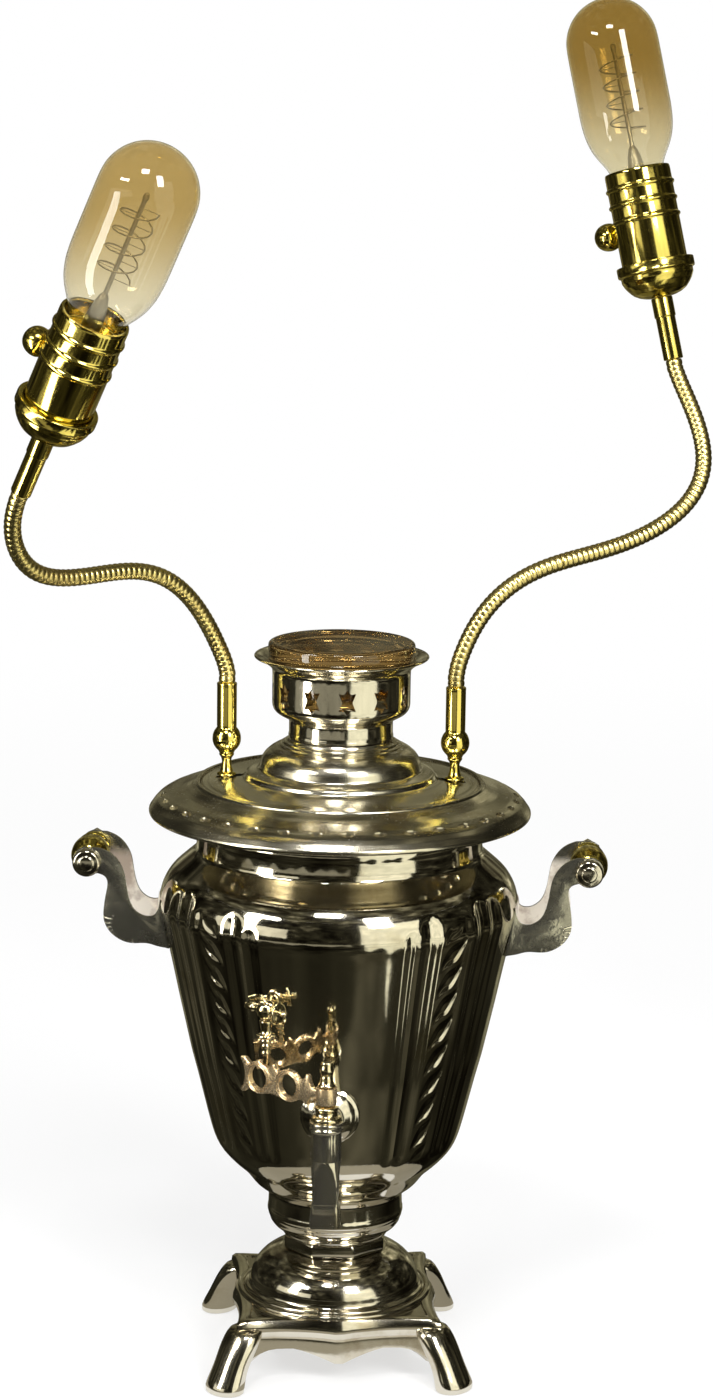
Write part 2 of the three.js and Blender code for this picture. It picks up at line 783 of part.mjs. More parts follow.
// Key plate: half outline of one ring with its spikes, as [place along, height] shares
const keyShares = [
  [0.08, 0.16], [0.16, 0.2], [0.2, 0.72], [0.26, 0.62], [0.34, 0.78], [0.43, 1], [0.5, 0.74], [0.57, 0.66],
  [0.62, 0.95], [0.68, 0.62], [0.76, 0.8], [0.86, 0.84], [0.92, 0.62], [0.98, 0.98], [1, 0.72], [0.95, 0.36], [0.98, 0.1],
];
const keyHoleShares = [0.43, 0.78];

function keyPlate() {
  const top = keyShares.map(([t, h]) => new THREE.Vector2(t * keyLength, h * keyHeight / 2));
  const bottom = [...top].reverse().map((p) => new THREE.Vector2(p.x, -p.y));
  const shape = new THREE.Shape([...top, ...bottom]);
  for (const share of keyHoleShares) {
    const hole = new THREE.Path();
    hole.absarc(share * keyLength, 0, keyHole / 2, 0, Math.PI * 2);
    shape.holes.push(hole);
  }
  const plate = prism(shape, -keyThickness / 2, keyThickness / 2).rotate([90, 0, 0]);
  const hub = tube(hubRadius, 0, -hubHeight / 2, hubHeight / 2, smallFacets);
  const bore = rod(hubBore, -keyHeight, keyHeight, smallFacets);
  const solid = spun(plate.add(hub).subtract(bore), keyTurn());
  return meshOf('key_plate', moved(solid, 0, -tapReach, keyMiddle()), rosyBrass);
}

// The key is swung back until its knob or its tip nearly meets the body
function keyTurn() {
  const knob = turnTo(postReach, bodyRadiusAt(knobMiddle()) + knobBall + keyClearance);
  const tip = turnTo(keyLength, bodyRadiusAt(keyMiddle() + keyHeight / 2) + keyThickness / 2 + keyClearance);
  return Math.max(knob, tip);
}

function turnTo(reach, distance) {
  const share = (reach ** 2 + tapReach ** 2 - distance ** 2) / (2 * reach * tapReach);
  return Math.PI - Math.asin(Math.min(1, share));
}

function knobMiddle() {
  return postBase() + postHeight + seatGap + knobBall;
}

// The key's hub stands on the plug's upper shoulder
function keyMiddle() {
  const flangeLow = tapHeight + seatHeight * (1 - seatLowShare) + seatGap;
  const shoulder = flangeLow + plugShoulderShare * (plugTop() - flangeLow);
  return shoulder + seatGap + hubHeight / 2;
}

function placeOnKey(solid, low) {
  const place = new THREE.Vector3(Math.cos(keyTurn()), Math.sin(keyTurn()), 0).multiplyScalar(postReach);
  return moved(solid, place.x, place.y - tapReach, low);
}

const postShares = [[1, 0], [1, 0.5], [0.85, 0.56], [1.45, 0.62], [1.45, 0.7], [0.85, 0.76], [0.8, 1]];

function postBase() {
  return keyMiddle() + keyHeight / 2 * 0.86 + seatGap;
}

function keyPost() {
  const profile = [[0, 0], ...postShares.map(([r, h]) => [r * postRadius, h * postHeight]), [0, postHeight]];
  return meshOf('key_post', placeOnKey(turned(profile, smallFacets), postBase()), brass);
}

const coneShares = [[0.36, 0], [0.3, 0.5], [0.16, 1]];
const discShares = [[0.3, 0], [0.4, 0.5], [0.95, 0.72], [0.97, 0.8]];

function keyKnob() {
  const ball = solidOf(new THREE.SphereGeometry(knobBall, thinFacets, hexSides));
  const cone = turned([[0, 0], ...coneShares.map(([r, h]) => [r * knobBall, h * knobArm]), [0, knobArm]], thinFacets);
  const last = discShares[discShares.length - 1][1] * knobArm;
  const disc = turned([[0, 0], ...discShares.map(([r, h]) => [r * knobBall, h * knobArm]), [0, last]], smallFacets);
  const arms = cone.rotate([0, 90, 0]).add(disc.rotate([0, -90, 0]));
  const solid = spun(ball.add(arms), keyTurn());
  return meshOf('key_knob', placeOnKey(solid, knobMiddle()), brass);
}

// Handle plate: [way in from the grip axis, height] as shares of width and drop
const outerEdgeShares = [
  [0.14, -0.14], [0.23, -0.163], [0.275, -0.22], [0.27, -0.3], [0.24, -0.42], [0.22, -0.54], [0.214, -0.65],
  [0.24, -0.74], [0.32, -0.84], [0.46, -0.92], [0.6, -0.95], [0.81, -0.935], [0.96, -0.98], [1.5, -1],
];
const innerEdgeShares = [
  [1.5, -0.44], [0.99, -0.46], [0.93, -0.6], [0.85, -0.635], [0.74, -0.625], [0.63, -0.56], [0.57, -0.46],
  [0.536, -0.34], [0.517, -0.23], [0.5, -0.14], [0.46, -0.05], [0.386, 0.042], [0.283, 0.112], [0.16, 0.15],
];

function bracketShape() {
  const place = ([x, z]) => new THREE.Vector2(x * bracketWidth, z * bracketDrop);
  const boss = [110, 145, 180, 215, 250, 280].map((degrees) => {
    const angle = THREE.MathUtils.degToRad(degrees);
    return new THREE.Vector2(Math.cos(angle), Math.sin(angle)).multiplyScalar(bossRadius);
  });
  const shape = new THREE.Shape([...outerEdgeShares.map(place), ...innerEdgeShares.map(place), ...boss]);
  const hole = new THREE.Path();
  hole.absarc(0, 0, boltRadius + seatGap, 0, Math.PI * 2);
  shape.holes.push(hole);
  return shape;
}

function handleBracket(name, side) {
  const middle = plateSpacing / 2;
  const plate = prism(bracketShape(), -bracketPlate / 2, bracketPlate / 2).rotate([90, 0, 0]);
  const web = block(
    new THREE.Vector3(bracketWidth * 0.7, -middle, -bracketDrop),
    new THREE.Vector3(bracketWidth * 1.5, middle, -webTop),
  );
  const place = (solid) => moved(solid.scale([-1, 1, 1]), gripReach, 0, gripHeight);
  const plates = place(moved(plate, 0, middle, 0).add(moved(plate, 0, -middle, 0)));
  const skin = place(web).intersect(bodyEnvelope(seatGap + webWall));
  let solid = plates.add(skin).subtract(bodyEnvelope(seatGap));
  if (side < 0) solid = solid.scale([-1, 1, 1]);
  return meshOf(name, solid, nickel);
}

const gripShares = [
  [0.66, 0], [0.8, 0.04], [0.7, 0.1], [0.95, 0.2], [1, 0.38], [0.95, 0.54], [0.78, 0.66],
  [0.9, 0.71], [0.72, 0.78], [0.8, 0.9], [0.66, 1],
];

function handleGrip(name, side) {
  const bore = boltRadius + seatGap;
  const low = -gripLength / 2;
  const profile = [[bore, low], ...gripShares.map(([r, h]) => [r * gripRadius, low + h * gripLength]), [bore, -low]];
  const solid = laid(closedRing(profile, smallFacets), false);
  return meshOf(name, moved(solid, side * gripReach, 0, gripHeight), brass);
}

function gripFace() {
  return plateSpacing / 2 + bracketPlate / 2 + seatGap;
}

function gripBolt(name, side) {
  const face = gripFace();
  const capEnd = face + capLength;
  const button = capRadius * 0.54;
  const profile = [
    [0, -face - nutThickness], [boltRadius, -face - nutThickness], [boltRadius, face], [capRadius * 0.92, face],
    [capRadius, face + capLength * 0.3], [capRadius, face + capLength * 0.7], [capRadius * 0.86, capEnd - seatGap * 2],
    [button, capEnd - seatGap * 2], [button, capEnd], [0, capEnd],
  ];
  const solid = laid(turned(profile, smallFacets), true);
  return meshOf(name, moved(solid, side * gripReach, 0, gripHeight), nickel);
}

function gripNut(name, side) {
  const face = gripFace();
  const ring = nut(capRadius, boltRadius + seatGap, face, face + nutThickness);
  return meshOf(name, moved(laid(ring, false), side * gripReach, 0, gripHeight), nickel);
}

// Nipple: [radius share of its flange, height share]
const nippleShares = [[1, 0], [1, 0.12], [0.66, 0.2], [0.5, 0.5], [0.5, 0.76], [0.78, 0.9], [0.78, 1]];

function nippleBase() {
  return lidHeightAt(stemReach - nippleFlange) + seatGap;
}

function lidNipple(name, side) {
  const low = nippleBase();
  const stem = nippleShares.map(([r, h]) => [r * nippleFlange, low + h * nippleHeight]);
  const top = low + nippleHeight;
  const profile = [
    [0, low - nippleThreadDrop], [nippleThread, low - nippleThreadDrop], [nippleThread, low], ...stem,
    [wireBore - seatGap, top], [wireBore - seatGap, top + spigotHeight], [0, top + spigotHeight],
  ];
  return meshOf(name, moved(turned(profile, smallFacets), side * stemReach, 0, 0), brass);
}

function nippleNut(name, side) {
  const high = lidHeightAt(stemReach + nippleFlange) - lidWall - seatGap * 2;
  const ring = nut(nutRadius * 0.7, nippleThread + seatGap, high - nutThickness * 0.7, high);
  return meshOf(name, moved(ring, side * stemReach, 0, 0), brass);
}

function armBase() {
  return nippleBase() + nippleHeight + seatGap;
}

function armBall(name, side) {
  const low = armBase();
  const top = low + armFootHeight;
  const ball = [-62, -35, 0, 35, 50].map((degrees) => {
    const angle = THREE.MathUtils.degToRad(degrees);
    return [ballRadius * Math.cos(angle), low + ballRadius + ballRadius * Math.sin(angle)];
  });
  const profile = [[wireBore, low], [nippleFlange * 0.8, low], ...ball, [ferruleRadius, top], [wireBore, top]];
  const solid = closedRing(profile, smallFacets);
  return meshOf(name, moved(solid, side * stemReach, 0, 0), brass);
}

// Arms: how far each reaches sideways, back and up from its foot, and how its lamp leans
const arms = {
  left: {
    side: -1,
    reach: 93.4,
    depth: -92,
    rise: 102.6,
    lean: new THREE.Vector3(0.394, -0.296, 0.87).normalize(),
    ribShares: [0.36, 0.62],
    routeShares: [
      [0.027, 0.016, 0.13], [0.085, 0.068, 0.278], [0.176, 0.152, 0.427], [0.286, 0.248, 0.537],
      [0.437, 0.363, 0.588], [0.604, 0.501, 0.572], [0.791, 0.659, 0.56], [0.913, 0.758, 0.6], [0.98, 0.841, 0.7],
      [1, 0.915, 0.822],
    ],
    endShares: [0.936, 1, 1],
  },
  right: {
    side: 1,
    reach: 120.2,
    depth: 74,
    rise: 152.4,
    lean: new THREE.Vector3(-0.212, 0.16, 0.964).normalize(),
    ribShares: [0.36, 0.62],
    routeShares: [
      [0.012, 0.007, 0.083], [0.055, 0.034, 0.178], [0.125, 0.078, 0.261], [0.224, 0.139, 0.33],
      [0.351, 0.219, 0.377], [0.496, 0.312, 0.401], [0.642, 0.414, 0.425], [0.793, 0.528, 0.47], [0.924, 0.641, 0.538],
      [0.989, 0.727, 0.621], [1, 0.797, 0.703], [0.974, 0.866, 0.789], [0.92, 0.938, 0.887],
    ],
    endShares: [0.863, 1, 1],
  },
};

function hoseBase() {
  return armBase() + armFootHeight + seatGap;
}

function routePoint(arm, [x, y, z]) {
  return new THREE.Vector3(arm.side * (stemReach + x * arm.reach), y * arm.depth, hoseBase() + z * arm.rise);
}

// The hose runs straight for one diameter where it leaves the foot and where it meets the head
function hoseRoute(arm) {
  const start = routePoint(arm, [0, 0, 0]);
  const end = routePoint(arm, arm.endShares);
  const straight = hoseRadius * 2;
  return new THREE.CatmullRomCurve3([
    start, start.clone().addScaledVector(up, straight),
    ...arm.routeShares.map((share) => routePoint(arm, share)),
    end.clone().addScaledVector(arm.lean, -straight), end,
  ], false, 'centripetal');
}

function headPlace(arm) {
  return routePoint(arm, arm.endShares);
}

// A ribbed length of hose between two shares of the route, with its bore
function ribbedHose(route, from, to) {
  const length = route.getLength();
  const ribs = Math.max(2, Math.round((to - from) * length / ribPitch));
  const ringCount = ribs * 2 + 1;
  const radii = Array.from({ length: ringCount }, (_, i) => (i % 2 ? hoseRadius : hoseRoot));
  const outer = hoseRings(route, from, to, radii);
  const boreCount = Math.ceil(ribs / 5) + 1;
  const inner = hoseRings(route, from, to, Array(boreCount).fill(hoseBore));
  const rings = [...outer, ...inner.reverse()];
  const points = rings.flat().flatMap((p) => [p.x, p.y, p.z]);
  const corners = [];
  for (let r = 0; r < rings.length; r += 1) {
    const next = (r + 1) % rings.length;
    for (let i = 0; i < thinFacets; i += 1) {
      const j = (i + 1) % thinFacets;
      const [a, b] = [r * thinFacets + i, r * thinFacets + j];
      const [c, d] = [next * thinFacets + j, next * thinFacets + i];
      corners.push(a, b, c, a, c, d);
    }
  }
  return rawSolid(points, corners);
}

function hoseRings(route, from, to, radii) {
  return radii.map((radius, i) => {
    const share = from + (to - from) * i / (radii.length - 1);
    const middle = route.getPointAt(share);
    const along = route.getTangentAt(share);
    const across = new THREE.Vector3(-along.y, along.x, 0);
    if (across.lengthSq() < seatGap / 100) across.set(1, 0, 0);
    across.copy(sidewaysOf(route, share));
    const third = new THREE.Vector3().crossVectors(along, across).normalize();
    return ringOf(thinFacets, (angle) => middle.clone()
      .addScaledVector(across, radius * Math.cos(angle)).addScaledVector(third, radius * Math.sin(angle)));
  });
}

// A direction square to the route that never flips: the one nearest to the arm's own sideways
function sidewaysOf(route, share) {
  const ends = new THREE.Vector3().subVectors(route.getPointAt(1), route.getPointAt(0)).setZ(0);
  const steady = new THREE.Vector3(-ends.y, ends.x, 0).normalize();
  const along = route.getTangentAt(share);
  return steady.addScaledVector(along, -steady.dot(along)).normalize();
}

function armHoses(key, arm) {
  const route = hoseRoute(arm);
  const gap = seatGap / route.getLength();
  const [first, second] = arm.ribShares;
  return [
    meshOf(`neck_lower_${key}`, ribbedHose(route, 0, first), brass),
    meshOf(`neck_mid_${key}`, ribbedHose(route, first + gap, second), brass),
    meshOf(`neck_upper_${key}`, ribbedHose(route, second + gap, 1), brass),
  ];
}

// Lamp head pieces, each about the head's own axis with the hose end at zero
const capBase = upperFerruleLength + seatGap * 2;
const shellBase = capBase + capHeight - shellNest;
const shellTop = shellBase + shellLength;
const screwTop = shellTop - screwInset;
const glassBase = screwTop + seatGap;

function upperFerrule() {
  const top = seatGap + upperFerruleLength;
  const step = top - collarLength;
  const profile = [
    [hoseBore, seatGap], [ferruleRadius, seatGap], [ferruleRadius, step], [collarRadius, step],
    [collarRadius, top], [hoseBore, top],
  ];
  return closedRing(profile, smallFacets);
}

const capShares = [[0.3, 0], [0.54, 0.07], [0.78, 0.3], [0.93, 0.5], [0.93, 0.68], [1, 0.74], [1, 1]];

// The cap's ring goes round the foot of the shell, which stands on a ledge inside it
function socketCap() {
  const skin = capShares.map(([r, h]) => [r * capRingRadius, capBase + h * capHeight]);
  const nest = shellRadius + seatGap;
  const ledge = shellBase - seatGap;
  const inner = [
    [nest, capBase + capHeight], [nest, ledge], [shellRadius - shellWall - beadHeight, ledge],
    [hoseBore, capBase + capWall],
  ];
  return closedRing([[hoseBore, capBase], ...skin, ...inner], middleFacets);
}

const beadShares = [0.54, 0.69, 0.846];

function socketShell() {
  const skin = [[shellRadius, shellBase]];
  for (const share of beadShares) {
    const height = shellBase + share * shellLength;
    skin.push([shellRadius, height - beadHeight], [shellRadius + beadHeight, height], [shellRadius, height + beadHeight]);
  }
  const inner = shellRadius - shellWall - beadHeight;
  return closedRing([...skin, [shellRadius, shellTop], [inner, shellTop], [inner, shellBase]], middleFacets);
}

// The insulating core stands in the cap and holds the screw shell of the bulb
function socketCore() {
  const outer = shellRadius - shellWall - beadHeight - seatGap;
  const low = shellBase;
  const floor = screwTop - screwLength - coreFloor;
  const inner = screwRadius + seatGap;
  const profile = [
    [hoseBore, low], [outer, low], [outer, shellTop - coreInset], [inner, shellTop - coreInset],
    [inner, floor + coreFloor - seatGap], [hoseBore, floor + coreFloor - seatGap],
  ];
  return closedRing(profile, middleFacets);
}

function switchKnob() {
  const start = shellRadius + seatGap;
  const flat = knobStem / knobRadius;
  const ball = [-1 + flat, -0.7, 0, 0.7].map((share) => [
    knobRadius * Math.sqrt(1 - share * share), start + knobRadius * (1 + share),
  ]);
  const profile = [[0, start], ...ball, [0, start + knobRadius * 2]];
  const solid = turned(profile, smallFacets).rotate([0, 90, 0]);
  return moved(spun(solid, knobTurn), 0, 0, shellBase + knobLift);
}

const glassShares = [[0, 0], [0.12, 0.07], [0.79, 0.19], [1, 0.35]];

function bulbGlass() {
  const domeCentre = glassBase + bulbLength - bulbRadius;
  const side = glassShares.map(([r, h]) => [bulbNeck + r * (bulbRadius - bulbNeck), glassBase + h * bulbLength]);
  const outer = [...side, ...domeArc(bulbRadius, domeCentre)];
  const inner = [
    ...side.map(([r, z]) => [r - glassWall, z]), ...domeArc(bulbRadius - glassWall, domeCentre),
  ].reverse();
  return turned([...outer, ...inner, outer[0]], middleFacets);
}

function domeArc(radius, centre) {
  return [0, 28, 58, 90].map((degrees) => {
    const angle = THREE.MathUtils.degToRad(degrees);
    return [degrees === 90 ? 0 : radius * Math.cos(angle), centre + radius * Math.sin(angle)];
  });
}

function bulbBase() {
  const low = screwTop - screwLength;
  const shoulder = low + coreFloor;
  const profile = [
    [0, low], [contactRadius, low], [screwRadius, shoulder], [screwRadius, screwTop], [0, screwTop],
  ];
  return turned(profile, middleFacets);
}

// Glass mount, centre rod and the cross wires that hold the filament
function filament() {
  const top = glassBase + bulbLength - bulbRadius * 0.5;
  const flare = bulbNeck * 0.4;
  const profile = [
    [0, glassBase], [flare, glassBase], [mountRadius * 2, glassBase + flare * 3], [mountRadius, glassBase + flare * 4],
    [mountRadius, top], [0, top],
  ];
  let solid = turned(profile, hexSides);
  for (let i = 0; i < supportCount; i += 1) {
    const height = top - (i + 1) * (top - glassBase) / (supportCount + 3);
    const half = new THREE.Vector3(supportLength, supportThickness / 2, supportThickness / 2);
    solid = solid.add(moved(block(half.clone().negate(), half), 0, 0, height));
  }
  return solid;
}

function lampHead(key, arm) {
  const head = new THREE.Group();
  head.position.copy(headPlace(arm));
  head.quaternion.setFromUnitVectors(up, arm.lean);
  const pieces = [
    ['upper_ferrule', upperFerrule(), brass], ['socket_cap', socketCap(), brass],
    ['socket_shell', socketShell(), brass], ['socket_core', socketCore(), porcelain],
    ['switch_knob', switchKnob(), brass], ['bulb_glass', bulbGlass(), smokyGlass],
    ['bulb_base', bulbBase(), brass], ['filament', filament(), steel],
  ];
  for (const [name, solid, finish] of pieces) head.add(meshOf(`${name}_${key}`, solid, finish));
  return head;
}

// The whole samovar, standing with its axis at zero
const samovar = new THREE.Group();
samovar.add(
  footCasting(), cordBush(), pedestalBell(), waistNut(), collarDrum(), tieRod(),
  rodNut('base_nut', plateTop - plateThickness - seatGap - nutThickness),
  rodNut('tank_nut', bodyBase + bodyWall + seatGap),
  bodyShell(), heaterRing(), brimTray(), lidCover(), crown(), crownBolt(),
  rodNut('crown_nut', crownBase + crownWall + seatGap),
  amberDisc(), tapBody(), tapEscutcheon(), tapGasket(), tapLockNut(),
  tapPlug(), keyPlate(), keyPost(), keyKnob(),
);
for (const [key, arm] of Object.entries(arms)) {
  samovar.add(
    handleBracket(`handle_bracket_${key}`, arm.side), handleGrip(`handle_grip_${key}`, arm.side),
    gripBolt(`grip_bolt_${key}`, arm.side), gripNut(`grip_nut_${key}`, arm.side),
    lidNipple(`lid_nipple_${key}`, arm.side), nippleNut(`nipple_nut_${key}`, arm.side),
    armBall(`arm_ball_${key}`, arm.side), ...armHoses(key, arm), lampHead(key, arm),
  );
}

// The frame's origin is on the floor below the middle of the whole object
samovar.updateMatrixWorld(true);
const middle = new THREE.Box3().setFromObject(samovar, true).getCenter(new THREE.Vector3());
samovar.position.set(-middle.x, -middle.y, 0);

export default samovar;
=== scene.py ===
import json
import math

import bpy
from mathutils import Matrix, Vector

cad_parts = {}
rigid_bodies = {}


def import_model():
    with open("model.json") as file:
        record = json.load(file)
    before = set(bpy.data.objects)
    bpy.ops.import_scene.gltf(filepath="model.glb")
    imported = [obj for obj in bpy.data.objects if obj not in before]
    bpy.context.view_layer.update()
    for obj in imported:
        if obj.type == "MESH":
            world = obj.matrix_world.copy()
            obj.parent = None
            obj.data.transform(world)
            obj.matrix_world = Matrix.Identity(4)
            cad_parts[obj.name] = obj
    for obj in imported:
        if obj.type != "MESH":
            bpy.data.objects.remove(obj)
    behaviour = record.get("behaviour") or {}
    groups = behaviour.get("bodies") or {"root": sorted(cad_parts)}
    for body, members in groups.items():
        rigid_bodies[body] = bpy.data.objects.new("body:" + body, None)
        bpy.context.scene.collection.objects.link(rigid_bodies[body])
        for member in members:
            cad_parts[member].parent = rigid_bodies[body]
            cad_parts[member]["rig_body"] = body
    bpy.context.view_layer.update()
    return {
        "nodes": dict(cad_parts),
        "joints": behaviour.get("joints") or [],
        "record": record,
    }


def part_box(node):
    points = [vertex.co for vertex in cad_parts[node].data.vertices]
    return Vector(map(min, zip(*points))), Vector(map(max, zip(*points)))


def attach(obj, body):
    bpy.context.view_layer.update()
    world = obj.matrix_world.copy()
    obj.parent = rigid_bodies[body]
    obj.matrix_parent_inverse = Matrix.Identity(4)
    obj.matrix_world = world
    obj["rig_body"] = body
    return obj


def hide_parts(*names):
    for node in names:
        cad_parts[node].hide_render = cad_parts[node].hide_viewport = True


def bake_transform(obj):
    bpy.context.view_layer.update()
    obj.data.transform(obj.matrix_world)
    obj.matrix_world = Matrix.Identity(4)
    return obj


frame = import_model()

mm = 0.001
weld = 0.01 * mm  # points nearer than this are merged
smallest = mm / 1000  # stands for a radius of zero where sizes are divided
smallEdge = 0.3 * mm
crisp, soft = 30, 60  # degrees: edges sharper than this stay sharp
cadNodes = frame["nodes"]
jointsByName = {joint["name"]: joint for joint in frame["joints"]}
slotOfNode = {row["node"]: row["material_slot"] for row in frame["record"]["subparts"]}
sides = ["left", "right"]
scene = bpy.context.scene
print("frame loaded:", len(cadNodes), "nodes")


# Places: the upright axis of the samovar, and one for each lamp head and handle

def middleOf(node):
    low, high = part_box(node)
    return (low + high) / 2


def heightsOf(node):
    # the heights between which a bulb's tint deepens
    low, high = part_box(node)
    return [low.z + share * (high.z - low.z) for share in (0.1, 0.75)]


def placeAlong(point, direction):
    turn = Vector((0, 0, 1)).rotation_difference(Vector(direction).normalized())
    return Matrix.Translation(point) @ turn.to_matrix().to_4x4()


axisPoint = middleOf("tie_rod")
axisPoint.z = 0
upright = Matrix.Translation(axisPoint)


def averagePoint(node):
    points = [vertex.co for vertex in cadNodes[node].data.vertices]
    return sum(points, Vector()) / len(points)


def headPlace(side):
    return placeAlong(averagePoint("socket_shell_" + side), jointsByName["bulb_out_" + side]["axis"])


def spanOf(node, place):
    # greatest radius, lowest and highest point of a CAD node along a place's own upright axis
    toLocal = place.inverted()
    points = [toLocal @ vertex.co for vertex in cadNodes[node].data.vertices]
    return max(p.xy.length for p in points), min(p.z for p in points), max(p.z for p in points)


# Shader maths

class Signal:
    def __init__(self, socket):
        self.socket = socket

    def maths(self, operation, *values):
        node = self.socket.id_data.nodes.new("ShaderNodeMath")
        node.operation = operation
        for place, value in zip(node.inputs, values):
            feed(place, value)
        return Signal(node.outputs[0])

    def __add__(self, other):
        return self.maths("ADD", self, other)

    def __radd__(self, other):
        return self.maths("ADD", other, self)

    def __sub__(self, other):
        return self.maths("SUBTRACT", self, other)

    def __rsub__(self, other):
        return self.maths("SUBTRACT", other, self)

    def __mul__(self, other):
        return self.maths("MULTIPLY", self, other)

    def __rmul__(self, other):
        return self.maths("MULTIPLY", other, self)

    def __truediv__(self, other):
        return self.maths("DIVIDE", self, other)

    def __pow__(self, other):
        return self.maths("POWER", self, other)

    def __gt__(self, other):
        return self.maths("GREATER_THAN", self, other)

    def __lt__(self, other):
        return self.maths("LESS_THAN", self, other)


def feed(place, value):
    if isinstance(value, Signal):
        place.id_data.links.new(value.socket, place)
    else:
        place.default_value = value


class Finish:
    def __init__(self, name):
        self.material = bpy.data.materials.new(name)
        self.material.use_nodes = True
        self.tree = self.material.node_tree
        self.tree.nodes.clear()

    def node(self, kind, settings=None, output=0, **values):
        # output is the socket's number, or its name
        node = self.tree.nodes.new(kind)
        for name, value in (settings or {}).items():
            if name == "stops":
                ramp = node.color_ramp
                while len(ramp.elements) < len(value):
                    ramp.elements.new(0.5)
                for element, (position, colour) in zip(ramp.elements, value):
                    element.position = position
                    element.color = (*colour, 1)
            else:
                setattr(node, name, value)
        for name, value in values.items():
            feed(node.inputs[int(name[1:]) if name[1:].isdigit() else name.replace("_", " ")], value)
        return Signal(node.outputs[output]) if len(node.outputs) else node

    def surface(self, shader):
        self.node("ShaderNodeOutputMaterial", Surface=shader)
        return self.material

    def aroundAxis(self):
        # Object coordinates with the samovar's axis at zero
        spot = self.node("ShaderNodeTexCoord", output="Object")
        return self.node("ShaderNodeMapping", Vector=spot, Location=(-axisPoint.x, -axisPoint.y, 0))

    def parts(self, vector):
        split = self.node("ShaderNodeSeparateXYZ", Vector=vector)
        outputs = split.socket.node.outputs
        return Signal(outputs["X"]), Signal(outputs["Y"]), Signal(outputs["Z"])

    def noise(self, vector, scale, detail=3.0, roughness=0.55):
        return self.node("ShaderNodeTexNoise", Vector=vector, Scale=scale,
                         Detail=detail, Roughness=roughness)

    def ramp(self, value, *stops):
        return self.node("ShaderNodeValToRGB", {"stops": stops}, Fac=value)

    def between(self, value, low, high, first, last):
        # the value's run from low to high, as a run from first to last
        return self.node("ShaderNodeMapRange", {"interpolation_type": "SMOOTHSTEP"}, Value=value,
                         From_Min=low, From_Max=high, To_Min=first, To_Max=last)


plating = {
    "clouds": {"scale": 28.0, "detail": 5.0, "roughness": 0.6}, "cloudRange": (0.3, 0.75),
    "specks": {"scale": 900.0, "detail": 2.0, "roughness": 0.5},
    "speckRange": (0.6, 0.8), "speckDulling": 0.08,
    "wornRange": (0.62, 0.82), "wearPull": 0.2,
    "waves": {"scale": 60.0, "detail": 2.0}, "waveShare": 0.4, "speckShare": 0.06, "depth": 0.12,
}


def platedMetal(name, base, worn, roughness, wear=0.5, pattern=None, metallic=1.0):
    finish = Finish(name)
    spot = finish.aroundAxis()
    clouds = finish.noise(spot, **plating["clouds"])
    specks = finish.noise(spot, **plating["specks"])
    wornFrom, wornTo = [limit - plating["wearPull"] * wear for limit in plating["wornRange"]]
    amount = finish.between(clouds, wornFrom, wornTo, 0.0, 1.0)
    colour = finish.ramp(amount, (0.0, base), (1.0, worn))
    polish = finish.between(clouds, *plating["cloudRange"], *roughness)
    polish = polish + finish.between(specks, *plating["speckRange"], 0.0, plating["speckDulling"])
    waves = finish.noise(spot, **plating["waves"])
    height = (waves * plating["waveShare"] + specks * plating["speckShare"]) * plating["depth"]
    if pattern:
        height = height + pattern(finish, spot)
    bump = finish.node("ShaderNodeBump", Strength=1.0, Distance=mm, Height=height)
    shader = finish.node("ShaderNodeBsdfPrincipled", Base_Color=colour, Metallic=metallic,
                         Roughness=polish, Normal=bump)
    return finish.surface(shader)


def plainRubber(name):
    finish = Finish(name)
    spot = finish.aroundAxis()
    grain = finish.noise(spot, scale=700.0)
    colour = finish.ramp(grain, (0.3, (0.018, 0.017, 0.016)), (0.7, (0.04, 0.038, 0.036)))
    bump = finish.node("ShaderNodeBump", Strength=0.3, Distance=0.2 * mm, Height=grain)
    shader = finish.node("ShaderNodeBsdfPrincipled", Base_Color=colour, Roughness=0.75, Normal=bump)
    return finish.surface(shader)


def glazedWhite(name):
    finish = Finish(name)
    spot = finish.aroundAxis()
    clouds = finish.noise(spot, scale=90.0)
    colour = finish.ramp(clouds, (0.3, (0.72, 0.68, 0.6)), (0.7, (0.86, 0.83, 0.77)))
    return finish.surface(finish.node("ShaderNodeBsdfPrincipled", Base_Color=colour, Roughness=0.35))


def tintedGlass(name, clear, deep, low, high, clarity=1.0):
    # glass whose tint deepens from one height to another, with a cloudy edge
    finish = Finish(name)
    spot = finish.aroundAxis()
    height = finish.parts(spot)[2]
    cloudDepth = 6 * mm
    cloud = finish.noise(spot, scale=40.0) * cloudDepth
    amount = finish.between(height + cloud, low, high, 0.0, 1.0)
    colour = finish.ramp(amount, (0.0, clear), (1.0, deep))
    shader = finish.node("ShaderNodeBsdfPrincipled", Base_Color=colour, Roughness=0.03,
                         IOR=1.47, Transmission_Weight=clarity)
    return finish.surface(shader)


# Body relief: flutes are in the mesh, the ears of leaves between them are in the bump

leafEar = {
    "middle": 41.9, "halfWidth": 5.3,  # degrees from the tap
    "pitch": 13.5 * mm, "slant": 0.62, "bend": 0.12, "depth": 1.15, "widening": 1.15, "lengthening": 1.35,
    "hollowRange": (0.25, 1.05), "low": 117 * mm, "lowFade": 4 * mm, "high": 234 * mm, "highFade": 5 * mm,
}


